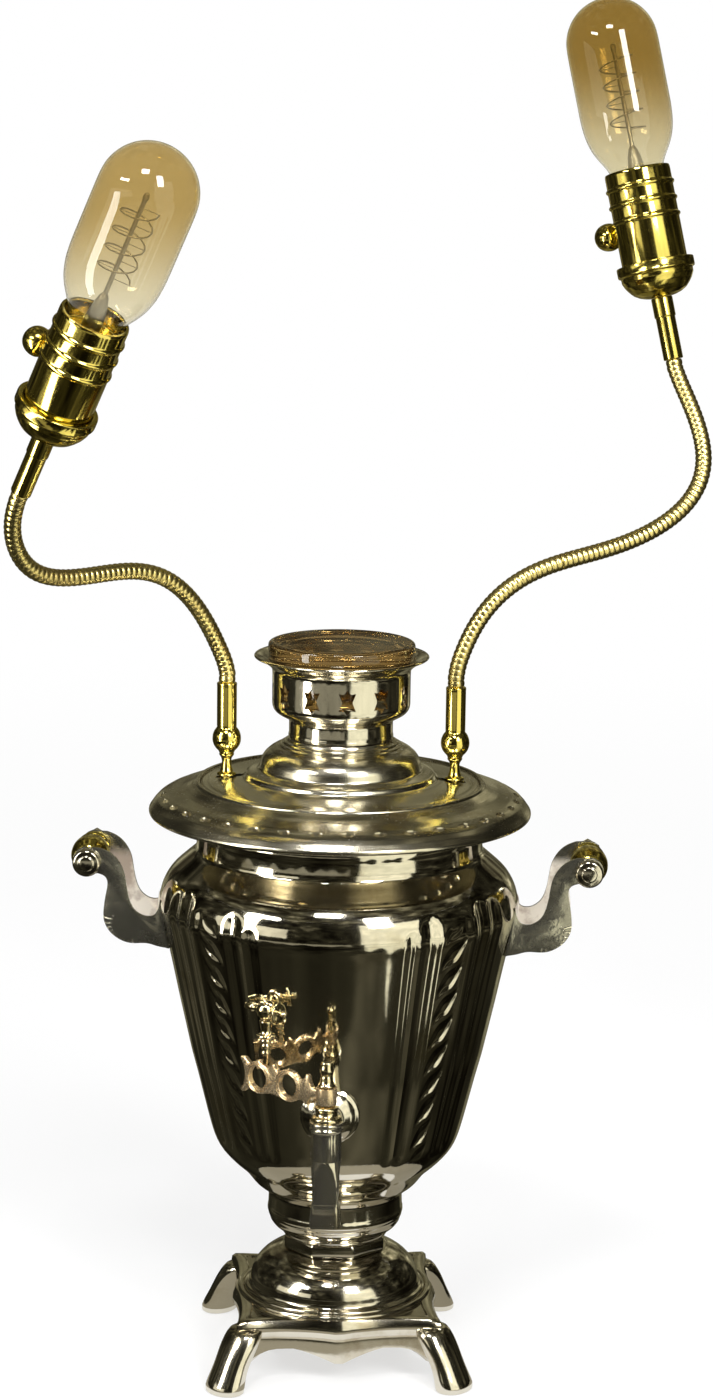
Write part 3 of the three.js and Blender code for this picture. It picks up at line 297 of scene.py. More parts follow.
def leafRelief(finish, spot):
    # a column of hollows between slanted, S-shaped strokes, mirrored in every quarter
    ear = leafEar
    x, y, z = finish.parts(spot)
    angle = x.maths("ARCTAN2", x, 0.0 - y) * math.degrees(1)
    folded = angle.maths("PINGPONG", angle.maths("ABSOLUTE", angle), 90.0)
    across = (folded - ear["middle"]) / ear["halfWidth"]
    bend = across.maths("SINE", across * math.pi) * ear["bend"]
    phase = z / ear["pitch"] - across * ear["slant"] + bend
    along = (phase.maths("FRACT", phase) - 0.5) * 2.0
    squares = across * across * ear["widening"] + along * along * ear["lengthening"]
    hollow = finish.between(along.maths("SQRT", squares), *ear["hollowRange"], 1.0, 0.0)
    low, lowFade, high, highFade = [ear[key] for key in ("low", "lowFade", "high", "highFade")]
    hollow = hollow * finish.between(z, low - lowFade, low + lowFade, 0.0, 1.0)
    hollow = hollow * finish.between(z, high - highFade, high + highFade, 1.0, 0.0)
    return 0.0 - hollow * ear["depth"]


castSkin = {
    # the lobe of the handle plates, and the short grooves round it, which get a painted highlight as well as
    # a bump
    "lobeReach": 102 * mm, "lobeHeight": 222 * mm, "grooveStart": (7.5 * mm, 8.5 * mm), "grooves": 26,
    "grooveBack": -3 * mm, "grooveTop": 4 * mm,
    "grooveRange": (0.2, 0.8), "groovePaintedHighlight": 0.65, "grooveDepth": 0.5,
    "cloudRange": (0.3, 0.7), "shine": (0.42, 0.26), "roughness": (0.14, 0.32), "grainDepth": 0.4,
    "tint": (1.0, 0.96, 0.78), "bareToneAndPaintedLightStops": [(0.38, (0.50, 0.41, 0.34)), (0.52, (0.90, 0.84, 0.74))],
    # between the two plates the inner faces have a pale bare-metal tone brightened as painted light, up to
    # the painted shade below the grip
    "innerReach": 17.0 * mm, "paintedShadeUnderGrip": (246 * mm, 253 * mm),
}


def castPlates(name):
    # plated outer faces with short grooves round the lobe, whose brighter colour is a painted highlight, and
    # pale inner faces: a bare-metal tone brightened as painted light, with painted shade under the grip
    finish, skin = Finish(name), castSkin
    spot = finish.aroundAxis()
    clouds = finish.noise(spot, scale=70.0, detail=5.0, roughness=0.6)
    x, y, z = finish.parts(spot)
    side, height = x.maths("ABSOLUTE", x) - skin["lobeReach"], z - skin["lobeHeight"]
    reach = (side * side + height * height) ** 0.5
    band = finish.between(reach, *skin["grooveStart"], 0.0, 1.0)
    band = band * (side > skin["grooveBack"]) * (height < skin["grooveTop"])
    around = height.maths("ARCTAN2", height, side) * skin["grooves"]
    grooves = finish.between(around.maths("SINE", around), *skin["grooveRange"], 0.0, 1.0) * band
    # the grooves raise the base colour: a painted highlight on them, besides their bump
    shine = finish.between(clouds, *skin["cloudRange"], *skin["shine"]) + grooves * skin["groovePaintedHighlight"]
    grain = finish.noise(spot, scale=130.0) * skin["grainDepth"] - grooves * skin["grooveDepth"]
    plated = finish.node("ShaderNodeBsdfPrincipled", Metallic=0.94,
                         Roughness=finish.between(clouds, *skin["cloudRange"], *skin["roughness"]),
                         Base_Color=finish.ramp(shine, (0.0, (0.0, 0.0, 0.0)), (1.0, skin["tint"])),
                         Normal=finish.node("ShaderNodeBump", Strength=1.0, Distance=mm, Height=grain))
    # inner faces: a pinkish bare-metal tone, made pale as painted light
    bareToneWithPaintedLight = finish.node("ShaderNodeBsdfPrincipled", Metallic=0.3, Roughness=0.5,
                       Base_Color=finish.ramp(clouds, *skin["bareToneAndPaintedLightStops"]))
    # near the grip the inner faces take the darker plated finish instead: painted shade under the grip
    inner = (y.maths("ABSOLUTE", y) < skin["innerReach"]) * finish.between(z, *skin["paintedShadeUnderGrip"], 1.0, 0.0)
    return finish.surface(finish.node("ShaderNodeMixShader", Fac=inner, _1=plated, _2=bareToneWithPaintedLight))


# by material slot; the ones in camelCase are for single pieces
finishes = {
    "nickel": platedMetal("nickelPlate", (0.68, 0.64, 0.54), (0.50, 0.44, 0.32), (0.07, 0.17)),
    "bodyNickel": platedMetal("bodyNickel", (0.66, 0.62, 0.52), (0.50, 0.45, 0.33), (0.05, 0.11),
                              pattern=leafRelief),
    "satinNickel": platedMetal("satinNickel", (0.66, 0.62, 0.50), (0.50, 0.44, 0.31), (0.17, 0.27),
                               wear=0.7),
    "castNickel": castPlates("castNickel"),
    "tapNickel": platedMetal("tapNickel", (0.66, 0.62, 0.50), (0.48, 0.43, 0.30), (0.1, 0.24),
                             wear=0.8, metallic=0.97),
    "steel": platedMetal("zincSteel", (0.42, 0.41, 0.39), (0.3, 0.28, 0.25), (0.3, 0.45)),
    "lamp_brass": platedMetal("polishedBrass", (0.80, 0.66, 0.17), (0.60, 0.46, 0.10), (0.08, 0.18)),
    "hoseBrass": platedMetal("hoseBrass", (0.78, 0.65, 0.26), (0.56, 0.43, 0.16), (0.24, 0.36)),
    "rosy_brass": platedMetal("rosyBrass", (0.85, 0.66, 0.40), (0.66, 0.48, 0.28), (0.2, 0.3),
                              wear=0.3, metallic=0.9),
    "paleBrass": platedMetal("paleBrass", (0.82, 0.72, 0.47), (0.62, 0.50, 0.30), (0.09, 0.2)),
    "rubber": plainRubber("blackRubber"),
    "porcelain": glazedWhite("whitePorcelain"),
    "amber_glass": tintedGlass("amberGlass", (0.27, 0.175, 0.055), (0.31, 0.2, 0.07), 0.3, 0.4,
                               clarity=0.95),
    "smokyLeft": tintedGlass("smokyGlassLeft", (0.90, 0.86, 0.72), (0.68, 0.56, 0.31),
                             *heightsOf("bulb_glass_left")),
    "smokyRight": tintedGlass("smokyGlassRight", (0.84, 0.79, 0.62), (0.52, 0.40, 0.17),
                              *heightsOf("bulb_glass_right")),
}
print("finishes made:", len(finishes))


# Modelling helpers

def deselectAll():
    if bpy.context.mode != "OBJECT":
        bpy.ops.object.mode_set(mode="OBJECT")
    bpy.ops.object.select_all(action="DESELECT")


def choose(piece):
    deselectAll()
    piece.select_set(True)
    bpy.context.view_layer.objects.active = piece


def applyAll(piece):
    choose(piece)
    for modifier in list(piece.modifiers):
        bpy.ops.object.modifier_apply(modifier=modifier.name)


def settle(piece, place=None):
    # puts the place into the mesh, so that the object itself stays at the origin
    choose(piece)
    if place is not None:
        piece.matrix_world = place @ piece.matrix_world
    bpy.ops.object.transform_apply(location=True, rotation=True, scale=True)
    return piece


def edit(piece, kind="EDGE", action="SELECT"):
    choose(piece)
    bpy.ops.object.mode_set(mode="EDIT")
    bpy.ops.mesh.select_mode(type=kind)
    bpy.ops.mesh.select_all(action=action)


def leaveEdit():
    bpy.ops.object.mode_set(mode="OBJECT")


def pullRing(rise, size, height):
    # the selected ring is extruded along the axis and scaled about it
    bpy.ops.mesh.extrude_edges_move(TRANSFORM_OT_translate={"value": (0, 0, rise)})
    bpy.ops.transform.resize(value=(size, size, 1), center_override=(0, 0, height))


def smooth(piece, degrees=35):
    choose(piece)
    bpy.ops.object.shade_smooth_by_angle(angle=math.radians(degrees))
    return piece


def turnOutwards(piece):
    edit(piece)
    bpy.ops.mesh.remove_doubles(threshold=weld)
    bpy.ops.mesh.normals_make_consistent(inside=False)
    leaveEdit()
    return piece


def paint(piece, node, finish=None):
    piece.data.materials.clear()
    piece.data.materials.append(finishes[finish or slotOfNode[node]])


def dress(piece, node, finish=None):
    # gives a piece its finish and lets it move and stand for its CAD node
    paint(piece, node, finish)
    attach(piece, cadNodes[node]["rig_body"])
    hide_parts(node)


def pieceName(node):
    first, *others = node.split("_")
    return first + "".join(word.title() for word in others)


def rounded(outline, reach, steps=4, closed=False):
    # eases each corner of an outline into an arc that starts and ends at most reach from it
    points = [Vector(point) for point in outline]
    eased = [] if closed else [points[0]]
    count = len(points)
    for i in range(count) if closed else range(1, count - 1):
        before, corner, after = points[i - 1], points[i], points[(i + 1) % count]
        start = corner + (before - corner) * min(0.5, reach / max((before - corner).length, weld))
        end = corner + (after - corner) * min(0.5, reach / max((after - corner).length, weld))
        for step in range(steps + 1):
            t = step / steps
            eased.append(start * (1 - t) ** 2 + corner * 2 * t * (1 - t) + end * t ** 2)
    if not closed:
        eased.append(points[-1])
    kept = [eased[0]]
    for point in eased[1:]:
        if (point - kept[-1]).length > 2 * weld:
            kept.append(point)
    return kept


def turned(name, outline, steps=96, angle=35):
    # a ring is extruded along its axis and scaled, once for each point of the outline
    points = [Vector(point) for point in outline]
    startsClosed = points[0].x == 0
    first = points[1] if startsClosed else points[0]
    deselectAll()
    bpy.ops.mesh.primitive_circle_add(vertices=steps, radius=first.x, location=(0, 0, first.y),
                                      fill_type="TRIFAN" if startsClosed else "NOTHING")
    piece = bpy.context.object
    piece.name = name
    bpy.ops.object.transform_apply(location=True)
    if startsClosed:
        for vertex in piece.data.vertices:
            if vertex.co.xy.length < first.x / 2:
                vertex.co.z = points[0].y
    edit(piece, action="DESELECT" if startsClosed else "SELECT")
    if startsClosed:
        bpy.ops.mesh.select_non_manifold()
    rings = points[1:] if startsClosed else points
    for now, then in zip(rings, rings[1:]):
        pullRing(then.y - now.y, max(then.x, smallest) / max(now.x, smallest), then.y)
        if then.x == 0:
            bpy.ops.mesh.merge(type="CENTER")
    leaveEdit()
    turnOutwards(piece)
    return smooth(piece, angle)


def denser(outline, low, high, step):
    # adds points to the part of an outline between two heights
    points = [outline[0]]
    for a, b in zip(outline, outline[1:]):
        count = max(1, round((b - a).length / step)) if low < (a.y + b.y) / 2 < high else 1
        points += [a + (b - a) * (i + 1) / count for i in range(count)]
    return points


def turnedLike(node, details, place=upright, finish=None, press=None):
    # a smoother piece with a CAD node's own radius, height and place; its outline is in shares of both
    radius, low, high = spanOf(node, place)
    outline = [(r * radius, low + h * (high - low)) for r, h in details["outline"]]
    outline = rounded(outline, details["rounding"] * mm, details.get("roundSteps", 3))
    for first, last, step in details.get("dense", []):
        outline = denser(outline, low + first * (high - low), low + last * (high - low), step * mm)
    piece = turned(pieceName(node), outline, details["steps"])
    if press:
        press(piece, low, high)
    if "wall" in details:
        thicken(piece, details["wall"] * mm)
    if "smooth" in details:
        smooth(piece, details["smooth"])
    settle(piece, place)
    dress(piece, node, finish)
    return piece


def thicken(piece, wall):
    skin = piece.modifiers.new("wall", "SOLIDIFY")
    skin.thickness = wall
    skin.offset = -1
    skin.use_even_offset = True
    applyAll(piece)
    smooth(piece)


def join(pieces, name):
    deselectAll()
    for piece in pieces:
        piece.select_set(True)
    bpy.context.view_layer.objects.active = pieces[0]
    bpy.ops.object.join()
    pieces[0].name = name
    return pieces[0]


def duplicate(piece, turn):
    # a copy with its own mesh, turned and moved by a matrix
    copy = piece.copy()
    copy.data = piece.data.copy()
    scene.collection.objects.link(copy)
    copy.matrix_world = turn @ piece.matrix_world
    return settle(copy)


def copiesRound(piece, count, first, place=upright, outwards=Matrix()):
    # equal steps round a place's axis, the first one a share of a step on; the piece itself is removed
    copies = []
    for i in range(count):
        turn = Matrix.Rotation((i + first) * 2 * math.pi / count, 4, "Z")
        copies.append(duplicate(piece, place @ turn @ outwards))
    bpy.data.objects.remove(piece)
    return copies


def circle(count, first=0):
    # cosine and sine of equal steps round a circle
    angles = [(i + first) * 2 * math.pi / count for i in range(count)]
    return [(math.cos(a), math.sin(a)) for a in angles]


def cutAway(piece, cutters):
    cutter = join(cutters, "cutter")
    cut = piece.modifiers.new("cut", "BOOLEAN")
    cut.operation = "DIFFERENCE"
    cut.solver = "EXACT"
    cut.use_self = False
    cut.object = cutter
    applyAll(piece)
    bpy.data.objects.remove(cutter)
    smooth(piece)


def breakEdges(piece, width, degrees):
    edge = piece.modifiers.new("edge", "BEVEL")
    edge.width = width
    edge.segments = 2
    edge.limit_method = "ANGLE"
    edge.angle_limit = math.radians(degrees)
    applyAll(piece)


def prism(name, points, step):
    # a flat face through the points, pulled along a step into a solid
    deselectAll()
    bpy.ops.mesh.primitive_circle_add(vertices=len(points), radius=1, fill_type="NGON")
    piece = bpy.context.object
    piece.name = name
    for vertex, point in zip(piece.data.vertices, points):
        vertex.co = point
    edit(piece)
    bpy.ops.mesh.extrude_region_move(TRANSFORM_OT_translate={"value": step})
    leaveEdit()
    return turnOutwards(piece)


def plateFrom(name, outline, thickness, bevel=0):
    # a flat plate across the y axis: its outline is in x and z
    piece = prism(name, [(x, -thickness / 2, z) for x, z in outline], (0, thickness, 0))
    if bevel:
        breakEdges(piece, bevel, degrees=50)
    return smooth(piece, crisp)


def ring(radius, thickness, place, steps, pipeSteps):
    bpy.ops.mesh.primitive_torus_add(major_radius=radius, minor_radius=thickness,
                                     major_segments=steps, minor_segments=pipeSteps)
    return smooth(settle(bpy.context.object, place), soft)


def cylinder(name, radius, low, high, steps=48):
    outline = rounded([(0, low), (radius, low), (radius, high), (0, high)], smallEdge, 2)
    outline[0].x = outline[-1].x = 0
    return turned(name, outline, steps)


def rodBetween(start, end, radius):
    bpy.ops.mesh.primitive_cylinder_add(vertices=8, radius=radius, depth=(end - start).length)
    return smooth(settle(bpy.context.object, placeAlong((start + end) / 2, end - start)), soft)


def bevelledLike(node, bevel=smallEdge):
    # a CAD node's own shape with its edges broken
    piece = cadNodes[node].copy()
    piece.data = cadNodes[node].data.copy()
    piece.parent = None
    for key in list(piece.keys()):
        del piece[key]
    scene.collection.objects.link(piece)
    piece.name = pieceName(node)
    edit(piece)
    bpy.ops.mesh.remove_doubles(threshold=weld)
    bpy.ops.mesh.dissolve_limited(angle_limit=math.radians(2))
    leaveEdit()
    breakEdges(piece, bevel, degrees=25)
    smooth(piece, crisp)
    dress(piece, node)


# Foot: a plate with curly sides, a rolled band, a hollow skirt and four curved legs

foot = {
    # the plate: half its width, how far its sides dip in, and its rows as (share of the plan, height)
    "turn": math.radians(5.8), "half": 50, "dip": 3.2, "dipShape": 0.6, "columns": 24, "wall": 2.2,
    "cornerFromShare": 0.93, "cornerCut": 0.55, "plateTop": 33,
    "rows": [(0.90, 16.8), (0.966, 16.8), (0.968, 20.5), (0.962, 23.0), (1.0, 25), (1.03, 27), (1.036, 29),
             (1.03, 31), (1.0, 32.6), (0.96, 33), (0.9, 33), (0.885, 32.4), (0.87, 32.4)],
    # the skirt hangs lowest at the cusp in the middle of each side and at the corners
    "cuspDrop": 7.5, "cuspReach": 0.46, "cuspShape": 1.2, "cuspWave": 0.08, "lowestRow": 0.5,
    "cornerDrop": 9, "cornerFrom": 0.62, "rimDrop": 2.0,
    "moulding": {"radius": 46.5, "thickness": 1.6},
    # the legs, from (share of the height, share of the way out, width, depth) for each ring, top first
    "legRoot": 63, "toeReach": 79, "legWidth": 14, "toeDepth": 17, "legPoints": 20,
    "legRings": [(0.9, 0.0, 1.15, 0.9), (0.8, 0.12, 1.38, 0.98), (0.66, 0.33, 1.46, 0.96),
                 (0.5, 0.55, 1.4, 0.92), (0.35, 0.74, 1.36, 0.88), (0.2, 0.9, 1.46, 0.93),
                 (0.08, 1.0, 1.54, 1.0), (0.015, 1.0, 1.5, 0.97), (0.0, 1.0, 1.38, 0.9)],
}


def beyond(share, start):
    # how far a share is on its way from a start to 1
    return max(0, abs(share) - start) / (1 - start)


def footOutline():
    # (place on the plan, share along its side) for each column
    half, dip = foot["half"], foot["dip"]
    corners = []
    for side in range(4):
        for i in range(foot["columns"]):
            along = -1 + (2 * i + 1) / foot["columns"]
            inset = dip * math.sin(math.pi * min(abs(along), 1)) ** foot["dipShape"]
            inset += dip * foot["cornerCut"] * beyond(along, foot["cornerFromShare"])
            point = Vector((along * half, -half + inset))
            point.rotate(Matrix.Rotation(side * math.pi / 2, 2))
            corners.append((point, along))
    return corners


def makeFoot():
    corners = footOutline()
    first = foot["rows"][0]
    deselectAll()
    bpy.ops.mesh.primitive_circle_add(vertices=len(corners), radius=1)
    piece = bpy.context.object
    for vertex, (point, along) in zip(piece.data.vertices, corners):
        vertex.co = (point.x * first[0] * mm, point.y * first[0] * mm, first[1] * mm)
    edit(piece)
    for now, then in zip(foot["rows"], foot["rows"][1:]):
        pullRing((then[1] - now[1]) * mm, then[0] / now[0], then[1] * mm)
    bpy.ops.mesh.edge_face_add()
    leaveEdit()
    for i, vertex in enumerate(piece.data.vertices):
        along = abs(corners[i % len(corners)][1])
        if vertex.co.z < (first[1] + foot["lowestRow"]) * mm:
            cusp = (1 - min(along / foot["cuspReach"], 1)) ** foot["cuspShape"]
            wave = foot["cuspWave"] * math.sin(math.pi * along)
            corner = beyond(along, foot["cornerFrom"]) ** 2
            vertex.co.z -= (foot["cuspDrop"] * (cusp - wave) + foot["cornerDrop"] * corner) * mm
        elif vertex.co.z < foot["plateTop"] * mm - mm:
            vertex.co.z -= foot["rimDrop"] * mm * (1 - along) ** 2
    thicken(piece, foot["wall"] * mm)
    return piece


def makeLeg():
    def centre(row):
        return foot["legRoot"] + row[1] * (foot["toeReach"] - foot["legRoot"])

    first = foot["legRings"][0]
    height = foot["plateTop"]
    deselectAll()
    bpy.ops.mesh.primitive_circle_add(vertices=foot["legPoints"], radius=mm, fill_type="NGON",
                                      location=(centre(first) * mm, 0, first[0] * height * mm))
    piece = bpy.context.object
    piece.scale = (first[3] * foot["toeDepth"] / 2, first[2] * foot["legWidth"] / 2, 1)
    bpy.ops.object.transform_apply(location=True, scale=True)
    edit(piece)
    for now, then in zip(foot["legRings"], foot["legRings"][1:]):
        step = ((centre(then) - centre(now)) * mm, 0, (then[0] - now[0]) * height * mm)
        bpy.ops.mesh.extrude_region_move(TRANSFORM_OT_translate={"value": step})
        bpy.ops.transform.resize(value=(then[3] / now[3], then[2] / now[2], 1),
                                 center_override=(centre(then) * mm, 0, then[0] * height * mm))
    leaveEdit()
    turnOutwards(piece)
    flow = piece.modifiers.new("flow", "SUBSURF")
    flow.levels = flow.render_levels = 1
    applyAll(piece)
    for vertex in piece.data.vertices:
        vertex.co.z = max(vertex.co.z, 0)
    return smooth(piece, soft)


plate = makeFoot()
legs = copiesRound(makeLeg(), 4, 0.5, place=Matrix())
moulding = ring(foot["moulding"]["radius"] * mm, foot["moulding"]["thickness"] * mm,
                Matrix.Translation((0, 0, foot["plateTop"] * mm)), steps=96, pipeSteps=12)
footPiece = join([plate, *legs, moulding], "footCasting")
settle(footPiece, upright @ Matrix.Rotation(foot["turn"], 4, "Z"))
dress(footPiece, "foot_casting")
bevelledLike("cord_bush")
print("foot made")


# Pedestal: bell, eight-sided waist and drum

pedestalBell = {
    "outline": [(1, 0), (1, 0.075), (0.975, 0.115), (0.952, 0.125), (0.936, 0.17), (0.93, 0.24),
                (0.925, 0.34), (0.9, 0.48), (0.862, 0.61), (0.805, 0.74), (0.73, 0.85), (0.65, 0.925),
                (0.6, 0.96), (0.57, 1), (0.12, 1)],
    "rounding": 1.2, "steps": 96, "wall": 1.6,
}
collarDrum = {
    "outline": [(0.13, 0), (0.78, 0), (0.79, 0.08), (0.82, 0.13), (0.9, 0.2), (0.955, 0.31), (0.975, 0.42),
                (0.985, 0.44), (0.99, 0.5), (1, 0.53), (1, 0.62), (0.99, 0.66), (0.985, 0.95), (0.99, 1)],
    "rounding": 0.8, "steps": 96, "wall": 1.6,
}
turnedLike("pedestal_bell", pedestalBell)
turnedLike("collar_drum", collarDrum)
bevelledLike("waist_nut", 0.6 * mm)
print("pedestal made")


# Body: bowl, tall wall, shoulder and neck, with flutes pressed in

bodyShell = {
    "outline": [(0.06, 0), (0.382, 0), (0.4, 0.008), (0.425, 0.018), (0.464, 0.03), (0.514, 0.061),
                (0.595, 0.091), (0.66, 0.123), (0.691, 0.153), (0.72, 0.199), (0.781, 0.306),
                (0.8145, 0.36), (0.849, 0.428), (0.886, 0.5), (0.924, 0.579), (0.955, 0.64), (0.984, 0.695),
                (0.996, 0.712), (1, 0.728), (0.993, 0.748), (0.978, 0.773), (0.939, 0.803), (0.86, 0.833),
                (0.805, 0.853), (0.792, 0.863), (0.792, 0.9), (0.796, 0.905), (0.8, 0.915), (0.796, 0.925),
                (0.792, 0.93), (0.792, 1)],
    "rounding": 4.0, "roundSteps": 3, "steps": 288, "wall": 1.2, "smooth": soft,
    # more points where the grooves end: from and to as shares of the height, and their distance
    "dense": [(0.125, 0.21, 1.8), (0.69, 0.81, 1.6)],
}
flutes = {
    # middle and half width in degrees from the tap, upper end and depth as shares of the height and radius
    "grooves": [(26.25, 2.4, 0.752, 0.011), (32.5, 3.3, 0.780, 0.018), (55, 3.2, 0.797, 0.018),
                (61.6, 3.4, 0.788, 0.018), (49.4, 2.6, 0.78, -0.009)],
    "low": 0.148, "grain": 0.0008,
}


def pressFlutes(piece, low, high):
    # points of the mesh are drawn in for the rounded grooves, and out for the stem beside the leaves
    levels = {}
    for vertex in piece.data.vertices:
        angle = abs(math.degrees(math.atan2(vertex.co.x, -vertex.co.y)))
        column = angle if angle <= 90 else 180 - angle
        share = (vertex.co.z - low) / (high - low)
        for middle, half, top, depth in flutes["grooves"]:
            halfShare = math.radians(half) * vertex.co.xy.length / (high - low)
            pastEnd = max(0, share - top + halfShare, flutes["low"] + halfShare - share) / halfShare
            hollow = 1 - ((column - middle) / half) ** 2 - pastEnd ** 2
            level = round(depth * hollow / flutes["grain"])
            if hollow > 0 and level:
                levels.setdefault(level, []).append(vertex.index)
    for level, places in levels.items():
        edit(piece, "VERT", "DESELECT")
        leaveEdit()
        for place in places:
            piece.data.vertices[place].select = True
        bpy.ops.object.mode_set(mode="EDIT")
        size = 1 - level * flutes["grain"]
        bpy.ops.transform.resize(value=(size, size, 1), center_override=(0, 0, 0))
        leaveEdit()


turnedLike("body_shell", bodyShell, finish="bodyNickel", press=pressFlutes)
print("body made")


# Brim with a rolled edge and lens-shaped holes

brimTray = {
    "outline": [(0.69, 0.665), (0.69, 0.76), (0.733, 0.76), (0.733, 0.97), (0.742, 1), (0.752, 0.99),
                (0.757, 0.96), (0.757, 0.93), (0.775, 0.88), (0.80, 0.79), (0.83, 0.715), (0.86, 0.665),
                (0.895, 0.61), (0.93, 0.53), (0.957, 0.43), (0.978, 0.3), (0.99, 0.2), (1, 0.12), (1, 0.05),
                (0.994, 0), (0.985, 0.01), (0.98, 0.08), (0.965, 0.22), (0.94, 0.35), (0.9, 0.47),
                (0.86, 0.54), (0.8, 0.62), (0.758, 0.665), (0.69, 0.665)],
    "rounding": 0.5, "roundSteps": 2, "steps": 144,
    "holes": 36, "holeReach": 86.0, "holeLength": 7.6, "holeWidth": 3.1, "holePoints": 20, "holePoint": 0.25,
}


def makeBrim():
    piece = turnedLike("brim_tray", brimTray, finish="satinNickel")
    low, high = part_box("brim_tray")
    outline = []
    for across, along in circle(brimTray["holePoints"]):
        x = brimTray["holeWidth"] / 2 * across * abs(across) ** brimTray["holePoint"]
        outline.append(((brimTray["holeReach"] + x) * mm, brimTray["holeLength"] / 2 * along * mm, low.z))
    lens = prism("lens", outline, (0, 0, high.z - low.z))
    cutAway(piece, copiesRound(lens, brimTray["holes"], 0.5))


makeBrim()
print("brim made")


# Lid with its fine rings, and a slot under each arm

lidCover = {
    "outline": [(1, 0.0), (1, 0.055), (0.985, 0.08), (0.955, 0.085), (0.94, 0.1), (0.9, 0.115),
                (0.8, 0.145), (0.735, 0.168), (0.70, 0.175), (0.685, 0.2), (0.675, 0.28), (0.665, 0.3),
                (0.645, 0.32), (0.6, 0.35), (0.585, 0.365), (0.578, 0.42), (0.572, 0.52), (0.56, 0.6),
                (0.54, 0.68), (0.505, 0.765), (0.465, 0.83), (0.445, 0.845), (0.44, 0.87), (0.43, 0.885),
                (0.415, 0.89), (0.41, 0.925), (0.40, 0.94), (0.385, 0.945), (0.38, 1), (0.065, 1)],
    "rounding": 0.7, "roundSteps": 2, "steps": 128, "wall": 1.3,
    "slotLength": 15, "slotWidth": 6, "slotShift": 2, "slotPoints": 24,
}


def makeLid():
    piece = turnedLike("lid_cover", lidCover, finish="satinNickel")
    straight = (lidCover["slotLength"] - lidCover["slotWidth"]) / 2
    low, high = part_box("lid_cover")
    cutters = []
    for side in sides:
        armFoot = middleOf("arm_ball_" + side)
        inward = -1 if armFoot.x > axisPoint.x else 1
        outline = []
        for shares in circle(lidCover["slotPoints"], 0.5):
            x, y = [lidCover["slotWidth"] / 2 * share for share in shares]
            outline.append(((x + math.copysign(straight, x)) * mm, y * mm))
        cutter = plateFrom("slot", outline, high.z - low.z)
        place = Matrix.Translation((armFoot.x + inward * lidCover["slotShift"] * mm, armFoot.y, low.z))
        cutters.append(settle(cutter, place @ Matrix.Rotation(math.pi / 2, 4, "X")))
    cutAway(piece, cutters)


makeLid()
print("lid made")


# Crown with star-shaped openings, and the amber glass in it

crown = {
    "outline": [(0.1, 0), (0.593, 0), (0.6, 0.012), (0.6, 0.035), (0.593, 0.05), (0.593, 0.2), (0.6, 0.225),
                (0.68, 0.27), (0.74, 0.305), (0.775, 0.35), (0.788, 0.4), (0.788, 0.8), (0.795, 0.845),
                (0.85, 0.9), (0.93, 0.95), (0.98, 0.968), (1, 0.985), (0.99, 1)],
    "rounding": 1.4, "roundSteps": 3, "steps": 144, "wall": 1.1,
    "stars": 12, "starWidth": 8.4, "starHeight": 12.6, "starMiddle": 22.8, "firstStar": 3.25,
    "starRounding": 0.5,
    "star": [(0, 1), (0.42, 0.62), (1, 0.7), (0.58, 0), (1, -0.7), (0.42, -0.62),
             (0, -1), (-0.42, -0.62), (-1, -0.7), (-0.58, 0), (-1, 0.7), (-0.42, 0.62)],
}


def makeCrown():
    piece = turnedLike("crown", crown)
    low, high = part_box("crown")
    reach = high.x - axisPoint.x
    width, height = crown["starWidth"] / 2, crown["starHeight"] / 2
    star = [(x * width * mm, y * height * mm) for x, y in crown["star"]]
    pattern = plateFrom("star", rounded(star, crown["starRounding"] * mm, 2, closed=True), reach)
    outwards = Matrix.Translation((0, -reach, low.z + crown["starMiddle"] * mm))
    cutAway(piece, copiesRound(pattern, crown["stars"], crown["firstStar"], outwards=outwards))


amberDisc = {
    "outline": [(0, 0.53), (0.73, 0.53), (0.73, 0.02), (0.75, 0), (0.84, 0), (0.857, 0.02), (0.857, 0.53),
                (0.97, 0.53), (1, 0.57), (1, 0.93), (0.99, 0.965), (0.96, 0.99), (0.93, 1), (0, 1)],
    "rounding": 0.8, "steps": 128,
}
makeCrown()
turnedLike("amber_disc", amberDisc)
print("crown made")


# Tap: rosette, barrel, seat and spout, and the key that turns in it

tapRosette = {
    "outline": [(0.47, 0), (1, 0), (1, 0.55), (0.97, 0.62), (0.9, 0.66), (0.85, 0.7), (0.8, 0.76),
                (0.7, 0.86), (0.6, 0.93), (0.5, 1), (0.47, 1)],
    "rounding": 0.8, "steps": 64,
}
tapSizes = {
    "barrel": 6.6, "barrelSteps": 64, "seatLow": 10.0, "seatHigh": 8.5, "seatSteps": 96, "rounding": 0.3,
    "bore": 5.2, "spoutBore": 4.2, "boreStop": 3,
    "spoutSteps": 96, "spoutRows": 48, "bulge": 0.05, "arrisAngle": 26,
    # rings round the top of the seat: radius and depth below its rim
    "rings": [(7.7, 0), (8.1, 0.5), (8.1, 1.4), (7.5, 2.0), (7.3, 2.5), (7.8, 3.0), (8.0, 3.6), (7.8, 4.2),
              (7.2, 4.8), (7.2, 8)],
    # the spout from its mouth to the seat: share of the height, radius, half width across the flats
    "spout": [(0, 8.9, 7.3), (0.05, 9.0, 7.4), (0.22, 8.7, 7.05), (0.32, 8.3, 6.55), (0.335, 8.2, 6.35),
              (0.36, 8.2, 6.2), (0.5, 8.3, 6.3), (0.7, 8.1, 6.5), (0.86, 7.7, 6.75), (0.94, 7.4, 7.0),
              (1.0, 7.2, 7.2)],
}
